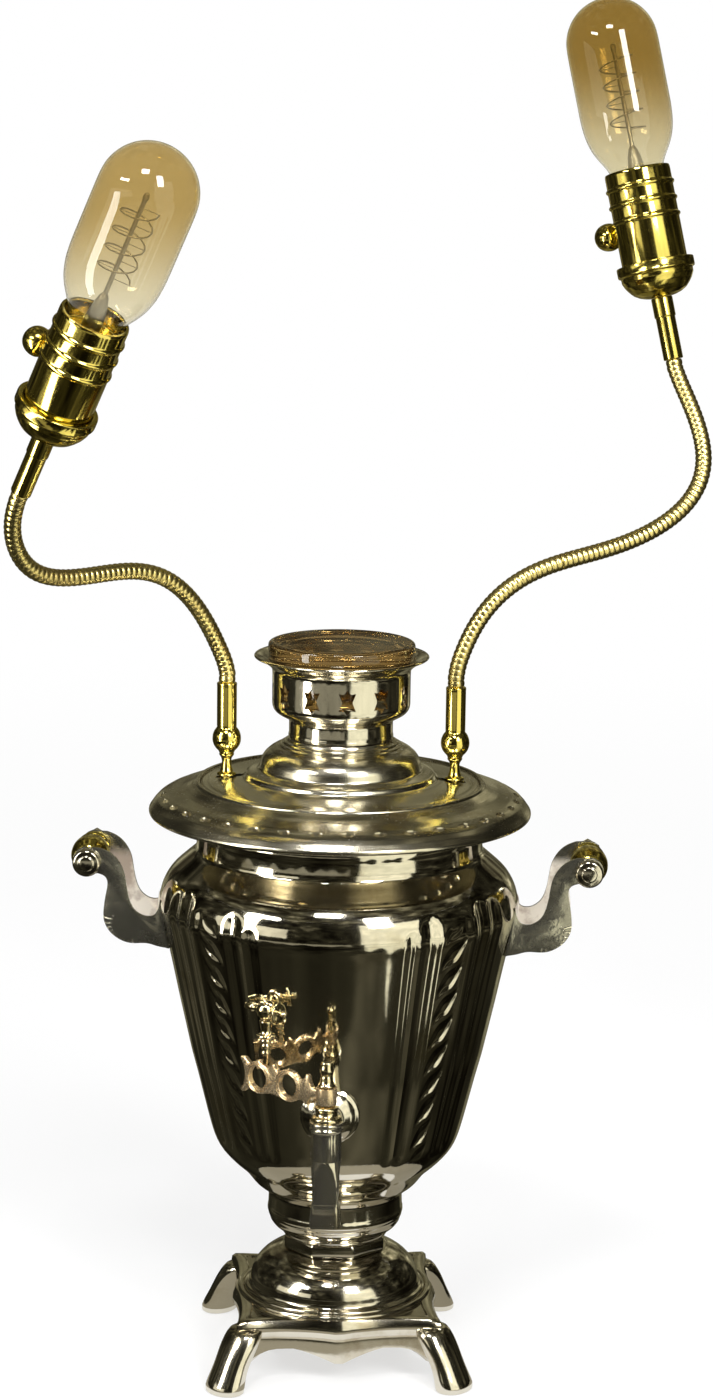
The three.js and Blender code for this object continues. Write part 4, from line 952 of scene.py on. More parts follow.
tapPlug = {
    "outline": [(0, 0), (0.66, 0), (0.68, 0.01), (0.68, 0.362), (0.97, 0.365), (1, 0.375), (0.99, 0.405),
                (0.9, 0.418), (0.76, 0.43), (0.72, 0.445), (0.7, 0.465), (0.72, 0.478), (0.77, 0.488),
                (0.79, 0.5), (0.75, 0.515), (0.6, 0.53), (0.42, 0.535), (0.42, 0.735), (0.56, 0.738),
                (0.58, 0.745), (0.56, 0.756), (0.48, 0.77), (0.43, 0.79), (0.41, 0.82), (0.39, 0.84),
                (0.36, 0.848), (0.36, 0.858), (0.41, 0.87), (0.46, 0.9), (0.465, 0.915), (0.43, 0.945),
                (0.4, 0.965), (0.4, 0.99), (0.37, 1), (0, 1)],
    "rounding": 0.3, "roundSteps": 2, "steps": 48,
}
keySizes = {
    "length": 54, "height": 17, "thickness": 2.6, "edge": 0.35, "rounding": 0.7,
    "hole": 11, "holes": (0.43, 0.78),
    "hub": 4.9, "hubBore": 3.4, "hubHalf": 4, "hubRounding": 0.3,
    # two ridges round each hole (radius and thickness), joined by one across from ring to ring
    "ridges": [(6.1, 0.6), (7.15, 0.5)], "tangent": 39.5, "ridgeLift": 1.15,
    "outline": [(0.08, 0.2), (0.15, 0.22), (0.18, 0.5), (0.195, 0.92), (0.22, 0.95), (0.24, 0.7),
                (0.27, 0.56), (0.31, 0.54), (0.34, 0.72), (0.38, 0.85), (0.43, 0.9), (0.48, 0.85),
                (0.52, 0.72), (0.55, 0.66), (0.575, 0.78), (0.585, 1.0), (0.615, 1.0), (0.635, 0.8),
                (0.66, 0.66), (0.69, 0.74), (0.725, 0.85), (0.75, 0.9), (0.765, 1.0), (0.79, 1.0),
                (0.805, 0.89), (0.84, 0.84), (0.875, 0.72), (0.90, 0.8), (0.93, 1.0), (0.985, 1.0),
                (0.985, 0.86), (0.95, 0.62), (0.935, 0.35), (0.93, 0)],
    "under": [(0.935, -0.35), (0.95, -0.6), (0.975, -0.8), (0.97, -1.0), (0.935, -1.0), (0.9, -0.76),
              (0.87, -0.76), (0.83, -0.86), (0.78, -0.9), (0.72, -0.86), (0.66, -0.76), (0.605, -0.72),
              (0.55, -0.76), (0.49, -0.86), (0.43, -0.9), (0.38, -0.86), (0.34, -0.74), (0.3, -0.6),
              (0.26, -0.62), (0.235, -0.8), (0.2, -0.8), (0.19, -0.5), (0.15, -0.24), (0.08, -0.2)],
}
keyPost = {
    "outline": [(0, 0), (0.3, 0), (0.3, 0.2), (0.45, 0.22), (0.5, 0.26), (0.42, 0.3), (0.42, 0.36),
                (0.55, 0.4), (0.55, 0.44), (0.45, 0.47), (0.5, 0.5), (0.6, 0.52), (0.62, 0.55),
                (0.55, 0.58), (0.9, 0.61), (1, 0.645), (0.93, 0.685), (0.62, 0.71), (0.52, 0.76),
                (0.6, 0.87), (0.66, 0.96), (0.66, 1), (0, 1)],
    "rounding": 0.3, "roundSteps": 2, "steps": 40,
}
keyKnob = {
    "ball": 4.8, "arm": 13.0, "rounding": 0.3,
    "cone": [(0.45, 0), (0.44, 0.42), (0.34, 0.5), (0.36, 0.56), (0.47, 0.6), (0.46, 0.72), (0.4, 0.9),
             (0.36, 0.97), (0, 1)],
    "cup": [(0.3, 0), (0.34, 0.4), (0.5, 0.46), (0.9, 0.54), (0.98, 0.6), (0.95, 0.64), (0.85, 0.64),
            (0.4, 0.6), (0.16, 0.62), (0.14, 0.72), (0.26, 0.76), (0.3, 0.84), (0.24, 0.94), (0, 0.98)],
}


def spread(share, places, sizes):
    # the size at a share of the length, along straight lines between the given places
    for (a, first), (b, second) in zip(zip(places, sizes), zip(places[1:], sizes[1:])):
        if share <= b:
            return first + (second - first) * max(share - a, 0) / (b - a)
    return sizes[-1]


def makeSpout(low, high):
    # a round tube with four flats, which end in arches below the seat
    shares, radii, halves = zip(*tapSizes["spout"])
    rows = [i / tapSizes["spoutRows"] for i in range(tapSizes["spoutRows"] + 1)]
    outline = [(spread(share, shares, radii) * mm, low + (high - low) * share) for share in rows]
    piece = turned("spout", [(0, low), *outline, (0, high)], tapSizes["spoutSteps"])
    for vertex in piece.data.vertices:
        half = spread((vertex.co.z - low) / (high - low), shares, halves) * mm
        x, y = vertex.co.xy
        across, along = [half * (1 - tapSizes["bulge"] * (c / half) ** 2) for c in (y, x)]
        vertex.co.xy = (min(max(x, -across), across), min(max(y, -along), along))
    return smooth(piece, tapSizes["arrisAngle"])


def makeSeat(low, high):
    # the hollow middle of the tap, with rings round its upper end
    bore = tapSizes["bore"] * mm
    wall = [(radius * mm, high - depth * mm) for radius, depth in tapSizes["rings"]]
    wall += [(wall[-1][0], low), (bore, low), (bore, high)]
    return turned("seat", rounded([wall[-1], *wall], tapSizes["rounding"] * mm, 2), tapSizes["seatSteps"])


def makeTap():
    keyAxis = Vector(jointsByName["tap_turn"]["pos_m"])
    height = keyAxis.z
    base = Matrix.Translation((keyAxis.x, keyAxis.y, 0))
    towardsFront = Matrix.Rotation(math.pi / 2, 4, "X")
    boxLow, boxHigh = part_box("tap_body")
    reach = axisPoint.y - keyAxis.y
    shankEnd = axisPoint.y - boxHigh.y
    seatLow = height - tapSizes["seatLow"] * mm
    seatHigh = height + tapSizes["seatHigh"] * mm
    barrel = cylinder("barrel", tapSizes["barrel"] * mm, shankEnd, reach, tapSizes["barrelSteps"])
    settle(barrel, Matrix.Translation((axisPoint.x, axisPoint.y, height)) @ towardsFront)
    seat = settle(makeSeat(seatLow, seatHigh), base)
    spout = settle(makeSpout(boxLow.z, seatLow), base)
    boreTop = seatLow - tapSizes["boreStop"] * mm
    drill = cylinder("bore", tapSizes["spoutBore"] * mm, boxLow.z - mm, boreTop, steps=32)
    cutAway(spout, [settle(drill, base)])
    piece = join([barrel, seat, spout], "tapBody")
    dress(piece, "tap_body", "tapNickel")
    forwards = placeAlong(Vector((axisPoint.x, axisPoint.y, height)), (0, -1, 0))
    turnedLike("tap_escutcheon", tapRosette, forwards)
    turnedLike("tap_plug", tapPlug, base, finish="paleBrass")


def makeKeyPlate(keyPlace):
    length, half = keySizes["length"] * mm, keySizes["height"] / 2 * mm
    edge = [(t * length, h * half) for t, h in keySizes["outline"] + keySizes["under"]]
    outline = rounded(edge, keySizes["rounding"] * mm, 2, closed=True)
    plate = plateFrom("keyPlate", outline, keySizes["thickness"] * mm, keySizes["edge"] * mm)
    holes, ridges = [], []
    lift, tangent = keySizes["ridgeLift"] * mm, math.radians(keySizes["tangent"])
    bore, rim, depth = [keySizes[key] * mm for key in ("hubBore", "hub", "hubHalf")]
    faceRidges = [(face, radius * mm, width * mm)
                  for face in [-1, 1] for radius, width in keySizes["ridges"]]
    middles = [share * length for share in keySizes["holes"]]
    for middle in middles:
        across = Matrix.Translation((middle, 0, 0)) @ Matrix.Rotation(math.pi / 2, 4, "X")
        holes.append(settle(cylinder("hole", keySizes["hole"] / 2 * mm, -depth, depth), across))
        for face, radius, width in faceRidges:
            place = Matrix.Translation((0, face * lift, 0)) @ across
            ridges.append(ring(radius, width, place, steps=48, pipeSteps=8))
    for face, radius, width in faceRidges:
        reach = Vector((math.cos(tangent), 0, math.sin(tangent))) * radius
        first, second = [Vector((middle, face * lift, 0)) for middle in middles]
        ridges.append(rodBetween(first + reach, second - reach, width))
    cutAway(plate, holes)
    wall = [(bore, -depth), (rim, -depth), (rim, depth), (bore, depth), (bore, -depth)]
    hub = turned("hub", rounded(wall, keySizes["hubRounding"] * mm, 2), steps=48)
    piece = settle(join([plate, hub, *ridges], "keyPlate"), keyPlace)
    dress(piece, "key_plate")


def makeKnob(place):
    # a ball with a pointed cone on one side and a cup on the other
    ball, arm = keyKnob["ball"] * mm, keyKnob["arm"] * mm
    bpy.ops.mesh.primitive_uv_sphere_add(segments=40, ring_count=24, radius=ball)
    pieces = [smooth(settle(bpy.context.object), soft)]
    for name, steps, turn in [("cone", 32, math.pi / 2), ("cup", 40, -math.pi / 2)]:
        outline = rounded([(r * ball, h * arm) for r, h in keyKnob[name]], keyKnob["rounding"] * mm, 2)
        pieces.append(settle(turned(name, outline, steps), Matrix.Rotation(turn, 4, "Y")))
    dress(settle(join(pieces, "keyKnob"), place), "key_knob", "paleBrass")


def makeKey():
    keyAxis = Vector(jointsByName["tap_turn"]["pos_m"])
    post = averagePoint("key_post")
    turn = Matrix.Rotation(math.atan2(post.y - keyAxis.y, post.x - keyAxis.x), 4, "Z")
    makeKeyPlate(Matrix.Translation((keyAxis.x, keyAxis.y, middleOf("key_plate").z)) @ turn)
    turnedLike("key_post", keyPost, Matrix.Translation((post.x, post.y, 0)), finish="paleBrass")
    makeKnob(Matrix.Translation((post.x, post.y, middleOf("key_knob").z)) @ turn)


def makeHeater():
    # a ring on two posts; it is inside the tank, so its shape is a guess
    low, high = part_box("heater_ring")
    radius, tube, post = [heaterRing[key] * mm for key in ("radius", "tube", "post")]
    place = upright @ Matrix.Translation((0, 0, high.z - tube))
    pieces = [ring(radius, tube, place, steps=64, pipeSteps=16)]
    for side in [-1, 1]:
        rod = cylinder("post", post, low.z, high.z - tube, steps=32)
        pieces.append(settle(rod, upright @ Matrix.Translation((side * radius, 0, 0))))
    dress(join(pieces, "heaterRing"), "heater_ring")


heaterRing = {"radius": 24, "tube": 3.5, "post": 3.0}
makeTap()
makeKey()
for node in ["tap_gasket", "tap_lock_nut", "tank_nut", "base_nut", "crown_nut", "crown_bolt", "tie_rod"]:
    bevelledLike(node, 0.25 * mm)
makeHeater()
print("tap and key made")


# Handles: two curved plates and a web on each side, and a turned brass grip on a bolt

handlePlate = {
    "width": 36, "drop": 43, "spacing": 35, "thickness": 2.2, "edge": 0.4, "rounding": 4,
    "outer": [(0.14, -0.14), (0.23, -0.163), (0.275, -0.22), (0.27, -0.3), (0.24, -0.42), (0.22, -0.54),
              (0.214, -0.65), (0.24, -0.74), (0.32, -0.84), (0.46, -0.92), (0.6, -0.95), (0.81, -0.935),
              (0.96, -0.98), (1.15, -1)],
    "inner": [(1.15, -0.44), (0.99, -0.46), (0.93, -0.6), (0.85, -0.635), (0.74, -0.625), (0.63, -0.56),
              (0.57, -0.46), (0.536, -0.34), (0.517, -0.23), (0.5, -0.14), (0.46, -0.05), (0.386, 0.042),
              (0.283, 0.112), (0.16, 0.15)],
    "boss": 7.0, "bossFrom": 105, "bossTo": 285, "bossSteps": 12, "wallGap": 0.4,
    "webLow": 1.0, "webHigh": 0.44, "webWall": 2.4, "webColumns": 16, "webRows": 12, "webAngle": 40,
}
handleGrip = {
    "outline": [(0.3, 0), (0.66, 0), (0.8, 0.03), (0.81, 0.06), (0.72, 0.095), (0.78, 0.13), (0.93, 0.2),
                (0.985, 0.28), (1, 0.38), (0.98, 0.47), (0.9, 0.57), (0.78, 0.64), (0.76, 0.67),
                (0.88, 0.695), (0.9, 0.71), (0.86, 0.735), (0.72, 0.76), (0.71, 0.79), (0.8, 0.825),
                (0.82, 0.87), (0.8, 0.91), (0.7, 0.95), (0.66, 1), (0.3, 1)],
    "rounding": 0.4, "roundSteps": 2, "steps": 56,
}


def bodyRadiusAt(height):
    radius, low, high = spanOf("body_shell", upright)
    share = (height - low) / (high - low)
    outline = bodyShell["outline"]
    for (r1, h1), (r2, h2) in zip(outline, outline[1:]):
        if h1 <= share <= h2 and h2 > h1:
            return (r1 + (r2 - r1) * (share - h1) / (h2 - h1)) * radius
    return radius


def makeBracket(side):
    plate = handlePlate
    grip = middleOf("handle_grip_" + side)
    wide, drop, span = plate["width"] * mm, plate["drop"] * mm, plate["spacing"] / 2 * mm
    outline = []
    for part in ("outer", "inner"):
        outline += rounded([(x * wide, z * drop) for x, z in plate[part]], plate["rounding"] * mm)
    for i in range(plate["bossSteps"] + 1):
        a = plate["bossFrom"] + (plate["bossTo"] - plate["bossFrom"]) * i / plate["bossSteps"]
        outline.append(Vector((math.cos(math.radians(a)), math.sin(math.radians(a)))) * plate["boss"] * mm)
    # the plate's end follows the body's wall
    fitted = []
    for x, z in outline:
        around = bodyRadiusAt(grip.z + z) + plate["wallGap"] * mm
        limit = abs(grip.x - axisPoint.x) - math.sqrt(max(around ** 2 - span ** 2, 0))
        fitted.append((min(x, limit), z))
    pieces = []
    for face in [-1, 1]:
        part = plateFrom("plate", fitted, plate["thickness"] * mm, plate["edge"] * mm)
        pieces.append(settle(part, Matrix.Translation((0, face * span, 0))))
    piece = join([*pieces, makeWeb(grip)], "handleBracket" + side.title())
    mirror = Matrix.Scale(1 if side == "left" else -1, 4, (1, 0, 0))
    settle(piece, Matrix.Translation(grip) @ mirror)
    turnOutwards(piece)
    smooth(piece, crisp)
    dress(piece, "handle_bracket_" + side, "castNickel")


def makeWeb(grip):
    # a curved flange on the body's wall joins the two plates
    plate = handlePlate
    drop, span = plate["drop"] * mm, plate["spacing"] / 2 * mm
    deselectAll()
    bpy.ops.mesh.primitive_grid_add(x_subdivisions=plate["webColumns"],
                                    y_subdivisions=plate["webRows"], size=2)
    piece = bpy.context.object
    for vertex in piece.data.vertices:
        share = 0.5 - vertex.co.y / 2
        y = vertex.co.x * span
        z = -drop * (plate["webHigh"] + (plate["webLow"] - plate["webHigh"]) * share)
        around = bodyRadiusAt(grip.z + z) + plate["wallGap"] * mm
        vertex.co = (abs(grip.x - axisPoint.x) - math.sqrt(around ** 2 - y ** 2), y, z)
    skin = piece.modifiers.new("wall", "SOLIDIFY")
    skin.thickness = plate["webWall"] * mm
    skin.offset = 1
    applyAll(piece)
    return smooth(turnOutwards(piece), plate["webAngle"])


gripBolt = {
    "outline": [(0, 0), (0.36, 0), (0.36, 0.868), (0.9, 0.87), (0.97, 0.885), (1, 0.905), (1, 0.95),
                (0.96, 0.97), (0.86, 0.982), (0.56, 0.986), (0.54, 0.99), (0.5, 0.998), (0, 1)],
    "rounding": 0.3, "roundSteps": 2, "steps": 48,
}
for side in sides:
    makeBracket(side)
    grip = middleOf("handle_grip_" + side)
    turnedLike("handle_grip_" + side, handleGrip, placeAlong(Vector((grip.x, 0, grip.z)), (0, 1, 0)))
    turnedLike("grip_bolt_" + side, gripBolt, placeAlong(Vector((grip.x, 0, grip.z)), (0, -1, 0)))
    bevelledLike("grip_nut_" + side)
print("handles made")


# Arms: nipple, ball and ferrule on the lid, then the ribbed tube in three lengths

lidNipple = {
    "outline": [(0, 0), (0.47, 0), (0.49, 0.02), (0.49, 0.325), (1, 0.327), (1, 0.355), (0.86, 0.37),
                (0.66, 0.385), (0.7, 0.4), (0.66, 0.42), (0.56, 0.46), (0.5, 0.52), (0.49, 0.58),
                (0.54, 0.63), (0.7, 0.67), (0.78, 0.69), (0.78, 0.71), (0.5, 0.712), (0.5, 1), (0, 1)],
    "rounding": 0.3, "roundSteps": 2, "steps": 40,
}
armBall = {
    "outline": [(0.4, 0), (0.5, 0), (0.54, 0.012), (0.56, 0.03), (0.72, 0.06), (0.88, 0.105), (0.97, 0.155),
                (1, 0.2), (0.97, 0.26), (0.88, 0.31), (0.76, 0.345), (0.69, 0.36), (0.68, 0.375),
                (0.69, 0.39), (0.69, 0.955), (0.7, 0.96), (0.7, 0.99), (0.66, 1), (0.4, 1), (0.4, 0)],
    "rounding": 0.5, "roundSteps": 2, "steps": 40,
}
armRoutes = {
    # lengths in mm; the points are in shares of reach, depth and rise
    "left": {
        "reach": -93.4, "depth": -92, "rise": 102.6, "end": (0.936, 1, 1),
        "shares": [(0.027, 0.016, 0.13), (0.085, 0.068, 0.278), (0.176, 0.152, 0.427),
                   (0.286, 0.248, 0.537), (0.437, 0.363, 0.588), (0.604, 0.501, 0.572),
                   (0.791, 0.659, 0.56), (0.913, 0.758, 0.6), (0.98, 0.841, 0.7), (1, 0.915, 0.822)],
    },
    "right": {
        "reach": 120.2, "depth": 74, "rise": 152.4, "end": (0.863, 1, 1),
        "shares": [(0.012, 0.007, 0.083), (0.055, 0.034, 0.178), (0.125, 0.078, 0.261),
                   (0.224, 0.139, 0.33), (0.351, 0.219, 0.377), (0.496, 0.312, 0.401),
                   (0.642, 0.414, 0.425), (0.793, 0.528, 0.47), (0.924, 0.641, 0.538),
                   (0.989, 0.727, 0.621), (1, 0.797, 0.703), (0.974, 0.866, 0.789), (0.92, 0.938, 0.887)],
    },
}
ribbedTube = {
    "radius": 4.1, "valley": 3.8, "pitch": 2.85, "points": 20,
    "straight": 8.2, "gap": 0.3, "joints": (0.36, 0.62),
    "curveSteps": 16, "guard": 8, "easing": 260, "ribAngle": 80, "angle": 70,
    # one rib: share of the pitch, share of the rise from valley to ridge
    "rib": [(0.0, 0.0), (0.14, 0.55), (0.32, 0.92), (0.5, 1.0), (0.68, 0.92), (0.86, 0.55), (1.0, 0.0)],
}


def armPoints(side):
    # the same route as the CAD model's, from the foot's top to the lamp head
    route = armRoutes[side]
    armFoot = averagePoint("arm_ball_" + side)
    start = Vector((armFoot.x, axisPoint.y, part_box("arm_ball_" + side)[1].z + ribbedTube["gap"] * mm))
    lean = Vector(jointsByName["bulb_out_" + side]["axis"])
    size = Vector((route["reach"], route["depth"], route["rise"])) * mm

    def at(shares):
        return start + size * Vector(shares)

    end = at(route["end"])
    straight = ribbedTube["straight"] * mm
    points = [start, start + Vector((0, 0, straight))]
    points += [at(share) for share in route["shares"]]
    return points + [end - lean * straight, end]


def smoothRoute(points):
    # centripetal curve through the points
    steps = ribbedTube["curveSteps"]
    guides = [points[0] * 2 - points[1], *points, points[-1] * 2 - points[-2]]
    line = [points[0]]
    for p0, p1, p2, p3 in zip(guides, guides[1:], guides[2:], guides[3:]):
        d0, d1, d2 = [math.sqrt((b - a).length) for a, b in ((p0, p1), (p1, p2), (p2, p3))]
        t1 = ((p1 - p0) / d0 - (p2 - p0) / (d0 + d1) + (p2 - p1) / d1) * d1
        t2 = ((p2 - p1) / d1 - (p3 - p1) / (d1 + d2) + (p3 - p2) / d2) * d1
        for step in range(1, steps + 1):
            t = step / steps
            line.append(p1 * (2 * t ** 3 - 3 * t ** 2 + 1) + t1 * (t ** 3 - 2 * t ** 2 + t)
                        + p2 * (3 * t ** 2 - 2 * t ** 3) + t2 * (t ** 3 - t ** 2))
    return line


def eased(line):
    # the bends are evened out, while both ends keep their place and direction
    guard = ribbedTube["guard"]
    for _ in range(ribbedTube["easing"]):
        triples = zip(line[guard - 1:], line[guard:-guard], line[guard + 1:])
        line = [*line[:guard], *[(a + b * 2 + c) / 4 for a, b, c in triples], *line[-guard:]]
    return line


def pathFrom(line):
    path = bpy.data.curves.new("armPath", "CURVE")
    path.dimensions = "3D"
    spline = path.splines.new("POLY")
    spline.points.add(len(line) - 1)
    for point, spot in zip(spline.points, line):
        point.co = (*spot, 1)
    carrier = bpy.data.objects.new("armPath", path)
    scene.collection.objects.link(carrier)
    return carrier


def pointAt(line, share):
    lengths = [(b - a).length for a, b in zip(line, line[1:])]
    left = share * sum(lengths)
    for a, b, length in zip(line, line[1:], lengths):
        if left <= length:
            return a + (b - a) * left / length
        left -= length
    return line[-1]


def closeEnds(piece):
    edit(piece, action="DESELECT")
    bpy.ops.mesh.select_non_manifold()
    bpy.ops.mesh.fill_holes(sides=0)
    leaveEdit()
    turnOutwards(piece)


def makeTube(side, part, line, first, last):
    # one rib is modelled, repeated along a straight length, and bent along the arm's route
    node, tube = f"neck_{part}_{side}", ribbedTube
    whole = sum((b - a).length for a, b in zip(line, line[1:]))
    count = max(2, round((last - first) * whole / (tube["pitch"] * mm)))
    pitch = (last - first) * whole / count
    rise = tube["radius"] - tube["valley"]
    outline = [((tube["valley"] + h * rise) * mm, t * pitch) for t, h in tube["rib"]]
    rib = turned("rib", outline, tube["points"], tube["ribAngle"])
    settle(rib, Matrix.Translation((0, 0, first * whole)))
    repeat = rib.modifiers.new("repeat", "ARRAY")
    repeat.count = count
    repeat.use_relative_offset = False
    repeat.use_constant_offset = True
    repeat.constant_offset_displace = (0, 0, pitch)
    repeat.use_merge_vertices = True
    repeat.merge_threshold = 2 * weld
    applyAll(rib)
    carrier = pathFrom(line)
    bend = rib.modifiers.new("bend", "CURVE")
    bend.object = carrier
    bend.deform_axis = "POS_Z"
    applyAll(rib)
    bpy.data.objects.remove(carrier)
    rib.name = pieceName(node)
    closeEnds(rib)
    smooth(rib, tube["angle"])
    paint(rib, node, "hoseBrass")
    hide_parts(node)
    return rib


for side in sides:
    armFoot = averagePoint("arm_ball_" + side)
    place = Matrix.Translation((armFoot.x, axisPoint.y, 0))
    turnedLike("lid_nipple_" + side, lidNipple, place)
    turnedLike("arm_ball_" + side, armBall, place)
    bevelledLike("nipple_nut_" + side)
    line = eased(smoothRoute(armPoints(side)))
    first, second = ribbedTube["joints"]
    lower = makeTube(side, "lower", line, 0, first)
    middle = makeTube(side, "mid", line, first, second)
    upper = makeTube(side, "upper", line, second, 1)
    bend, tilt = [tuple(pointAt(line, share)) for share in (first, second)]
    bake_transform(lower)
    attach(middle, "arm_" + side)
    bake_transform(upper)
print("arms made")


# Lamp heads

upperFerrule = {
    "outline": [(0.4, 0), (0.88, 0), (0.915, 0.01), (0.915, 0.675), (0.93, 0.685), (0.99, 0.69), (1, 0.7),
                (1, 0.985), (0.98, 1), (0.4, 1), (0.4, 0)],
    "rounding": 0.3, "roundSteps": 2, "steps": 40,
}
socketCap = {
    "outline": [(0.11, 0), (0.3, 0), (0.4, 0.02), (0.54, 0.07), (0.68, 0.16), (0.78, 0.28), (0.86, 0.4),
                (0.905, 0.5), (0.93, 0.56), (0.93, 0.66), (0.95, 0.7), (0.985, 0.71), (1, 0.74), (1, 0.97),
                (0.985, 1), (0.862, 1), (0.862, 0.57), (0.75, 0.57), (0.11, 0.07), (0.11, 0)],
    "rounding": 0.5, "roundSteps": 3, "steps": 96,
    "knurls": 48, "knurlLow": 0.76, "knurlHigh": 0.96, "knurlDepth": 0.02, "rimFrom": 0.99,
}
shellBead = [(0.948, 0), (0.955, 0.01), (0.99, 0.018), (1, 0.03), (0.99, 0.042), (0.955, 0.05),
             (0.948, 0.06)]
socketShell = {
    # three equal beads run round the shell
    "outline": [(0.83, 0), (0.948, 0),
                *[(r, low + h) for low in (0.515, 0.665, 0.815) for r, h in shellBead],
                (0.948, 0.975), (0.93, 1), (0.85, 1), (0.83, 0.98), (0.83, 0)],
    "rounding": 0.3, "roundSteps": 2, "steps": 72,
}
socketCore = {
    "outline": [(0.12, 0), (1, 0), (1, 1), (0.95, 1), (0.95, 0.47), (0.12, 0.47), (0.12, 0)],
    "rounding": 0.3, "roundSteps": 2, "steps": 56,
}
bulbGlass = {
    "outline": [(0.548, 0), (0.55, 0.03), (0.565, 0.06), (0.61, 0.095), (0.69, 0.13), (0.79, 0.17),
                (0.88, 0.215), (0.945, 0.27), (0.975, 0.32), (0.99, 0.38), (0.99, 0.728), (0.975, 0.786),
                (0.931, 0.827), (0.857, 0.866), (0.758, 0.901), (0.637, 0.931), (0.495, 0.955),
                (0.339, 0.973), (0.172, 0.984), (0, 0.988)],
    "rounding": 4.0, "roundSteps": 4, "steps": 72, "wall": 0.8,
}
bulbBase = {
    # the thread is a row of four equal waves
    "outline": [(0, 0), (0.3, 0), (0.38, 0.015), (0.42, 0.06), (0.9, 0.15), (0.95, 0.16),
                *[(r, low + h) for low in (0.2, 0.28, 0.36, 0.44) for r, h in ((1, 0), (0.94, 0.04))],
                (1, 0.52), (0.94, 0.56), (0.98, 0.62), (0.98, 1), (0, 1)],
    "rounding": 0.8, "roundSteps": 3, "steps": 56,
}
switchKnob = {
    "outline": [(0, 0), (0.33, 0), (0.35, 0.02), (0.35, 0.08), (0.5, 0.12), (0.72, 0.17), (0.9, 0.26),
                (0.98, 0.38), (1, 0.5), (0.97, 0.63), (0.88, 0.76), (0.72, 0.87), (0.5, 0.95), (0.25, 0.99),
                (0, 1)],
    "rounding": 0.8, "roundSteps": 3, "steps": 48,
}
lampInside = {
    "stem": [(0, 0), (4.6, 0), (4.2, 8), (3.2, 14), (2.2, 17.5), (1.1, 19), (1.0, 66), (1.6, 68), (1.0, 70),
             (0, 70)],
    "stemRounding": 0.8, "stemSteps": 24,
    "wire": 0.2, "coil": 0.38, "turns": 4, "steps": 14, "coilRadius": 8.5, "low": 27, "high": 63, "hooks": 9,
}


def knurl(piece, low, high):
    # every second column of the cap's rim is drawn in
    rim = socketCap["rimFrom"] * max(vertex.co.xy.length for vertex in piece.data.vertices)
    step = math.pi / socketCap["knurls"]
    for vertex in piece.data.vertices:
        share = (vertex.co.z - low) / (high - low)
        column = round(math.atan2(vertex.co.y, vertex.co.x) / step)
        onRim = socketCap["knurlLow"] < share < socketCap["knurlHigh"] and vertex.co.xy.length > rim
        if onRim and column % 2:
            vertex.co.xy *= 1 - socketCap["knurlDepth"]


def makeFilament(side, place):
    # glass stem, thin supports that stand out from it and a filament that winds up round them
    node, inside = "filament_" + side, lampInside
    low = spanOf(node, place)[1]
    outline = [(r * mm, low + h * mm) for r, h in inside["stem"]]
    stem = rounded(outline, inside["stemRounding"] * mm, steps=3)
    wires = [turned("stem", stem, inside["stemSteps"])]
    count = inside["turns"] * inside["steps"]
    spiral = []
    for i in range(count + 1):
        a = i * 2 * math.pi / inside["steps"]
        height = inside["low"] + (inside["high"] - inside["low"]) * i / count
        across = Vector((math.cos(a), math.sin(a), 0)) * inside["coilRadius"] * mm
        spiral.append(across + Vector((0, 0, low + height * mm)))
    for a, b in zip(spiral, spiral[1:]):
        wires.append(rodBetween(a, b, inside["coil"] * mm))
    for i in range(inside["hooks"]):
        corner = spiral[round(i * count / (inside["hooks"] - 1))]
        wires.append(rodBetween(Vector((0, 0, corner.z)), corner, inside["wire"] * mm))
    dress(settle(join(wires, "filament" + side.title()), place), node)


for side in sides:
    place = headPlace(side)
    turnedLike("upper_ferrule_" + side, upperFerrule, place)
    turnedLike("socket_cap_" + side, socketCap, place, press=knurl)
    turnedLike("socket_shell_" + side, socketShell, place)
    turnedLike("socket_core_" + side, socketCore, place)
    turnedLike("bulb_base_" + side, bulbBase, place)
    turnedLike("bulb_glass_" + side, bulbGlass, place, finish="smoky" + side.title())
    makeFilament(side, place)
    knobAxis = jointsByName["switch_turn_" + side]["axis"]
    turnedLike("switch_knob_" + side, switchKnob, placeAlong(averagePoint("switch_knob_" + side), knobAxis))
print("lamp heads made")


# Stage: pale floor, white surroundings, screens that only reflections show, and lamps

stage = {"floorSize": 9.0, "floorColour": (0.93, 0.93, 0.93, 1), "glow": 0.6, "glowRange": (0.35, 2.0),
         "skyForDiffuse": 0.72, "white": (1, 1, 1, 1)}


def shownTo(path):
    # more than zero for the rays that see a surface, and zero for those that only light one
    kinds = ("Camera", "Glossy", "Transmission")
    seen, mirrored, through = [Signal(path[f"Is {kind} Ray"]) for kind in kinds]
    return seen + mirrored + through


def whiteGround():
    finish = Finish("paleFloor")
    path = finish.node("ShaderNodeLightPath").socket.node.outputs
    lit = finish.node("ShaderNodeBsdfDiffuse", Color=stage["floorColour"])
    bright = finish.node("ShaderNodeEmission", Color=stage["white"], Strength=1.0)
    seen = shownTo(path)
    spot = finish.node("ShaderNodeTexCoord", output="Object")
    reach = finish.node("ShaderNodeVectorMath", {"operation": "LENGTH"}, output=1, _0=spot)
    glow = finish.between(reach, *stage["glowRange"], stage["glow"], 1.0)
    return finish.surface(finish.node("ShaderNodeMixShader", Fac=(seen > 0.5) * glow, _1=lit, _2=bright))


deselectAll()
bpy.ops.mesh.primitive_plane_add(size=stage["floorSize"], location=(0, 0, 0))
floor = bpy.context.object
floor.name = "studioFloor"
floor.data.materials.append(whiteGround())

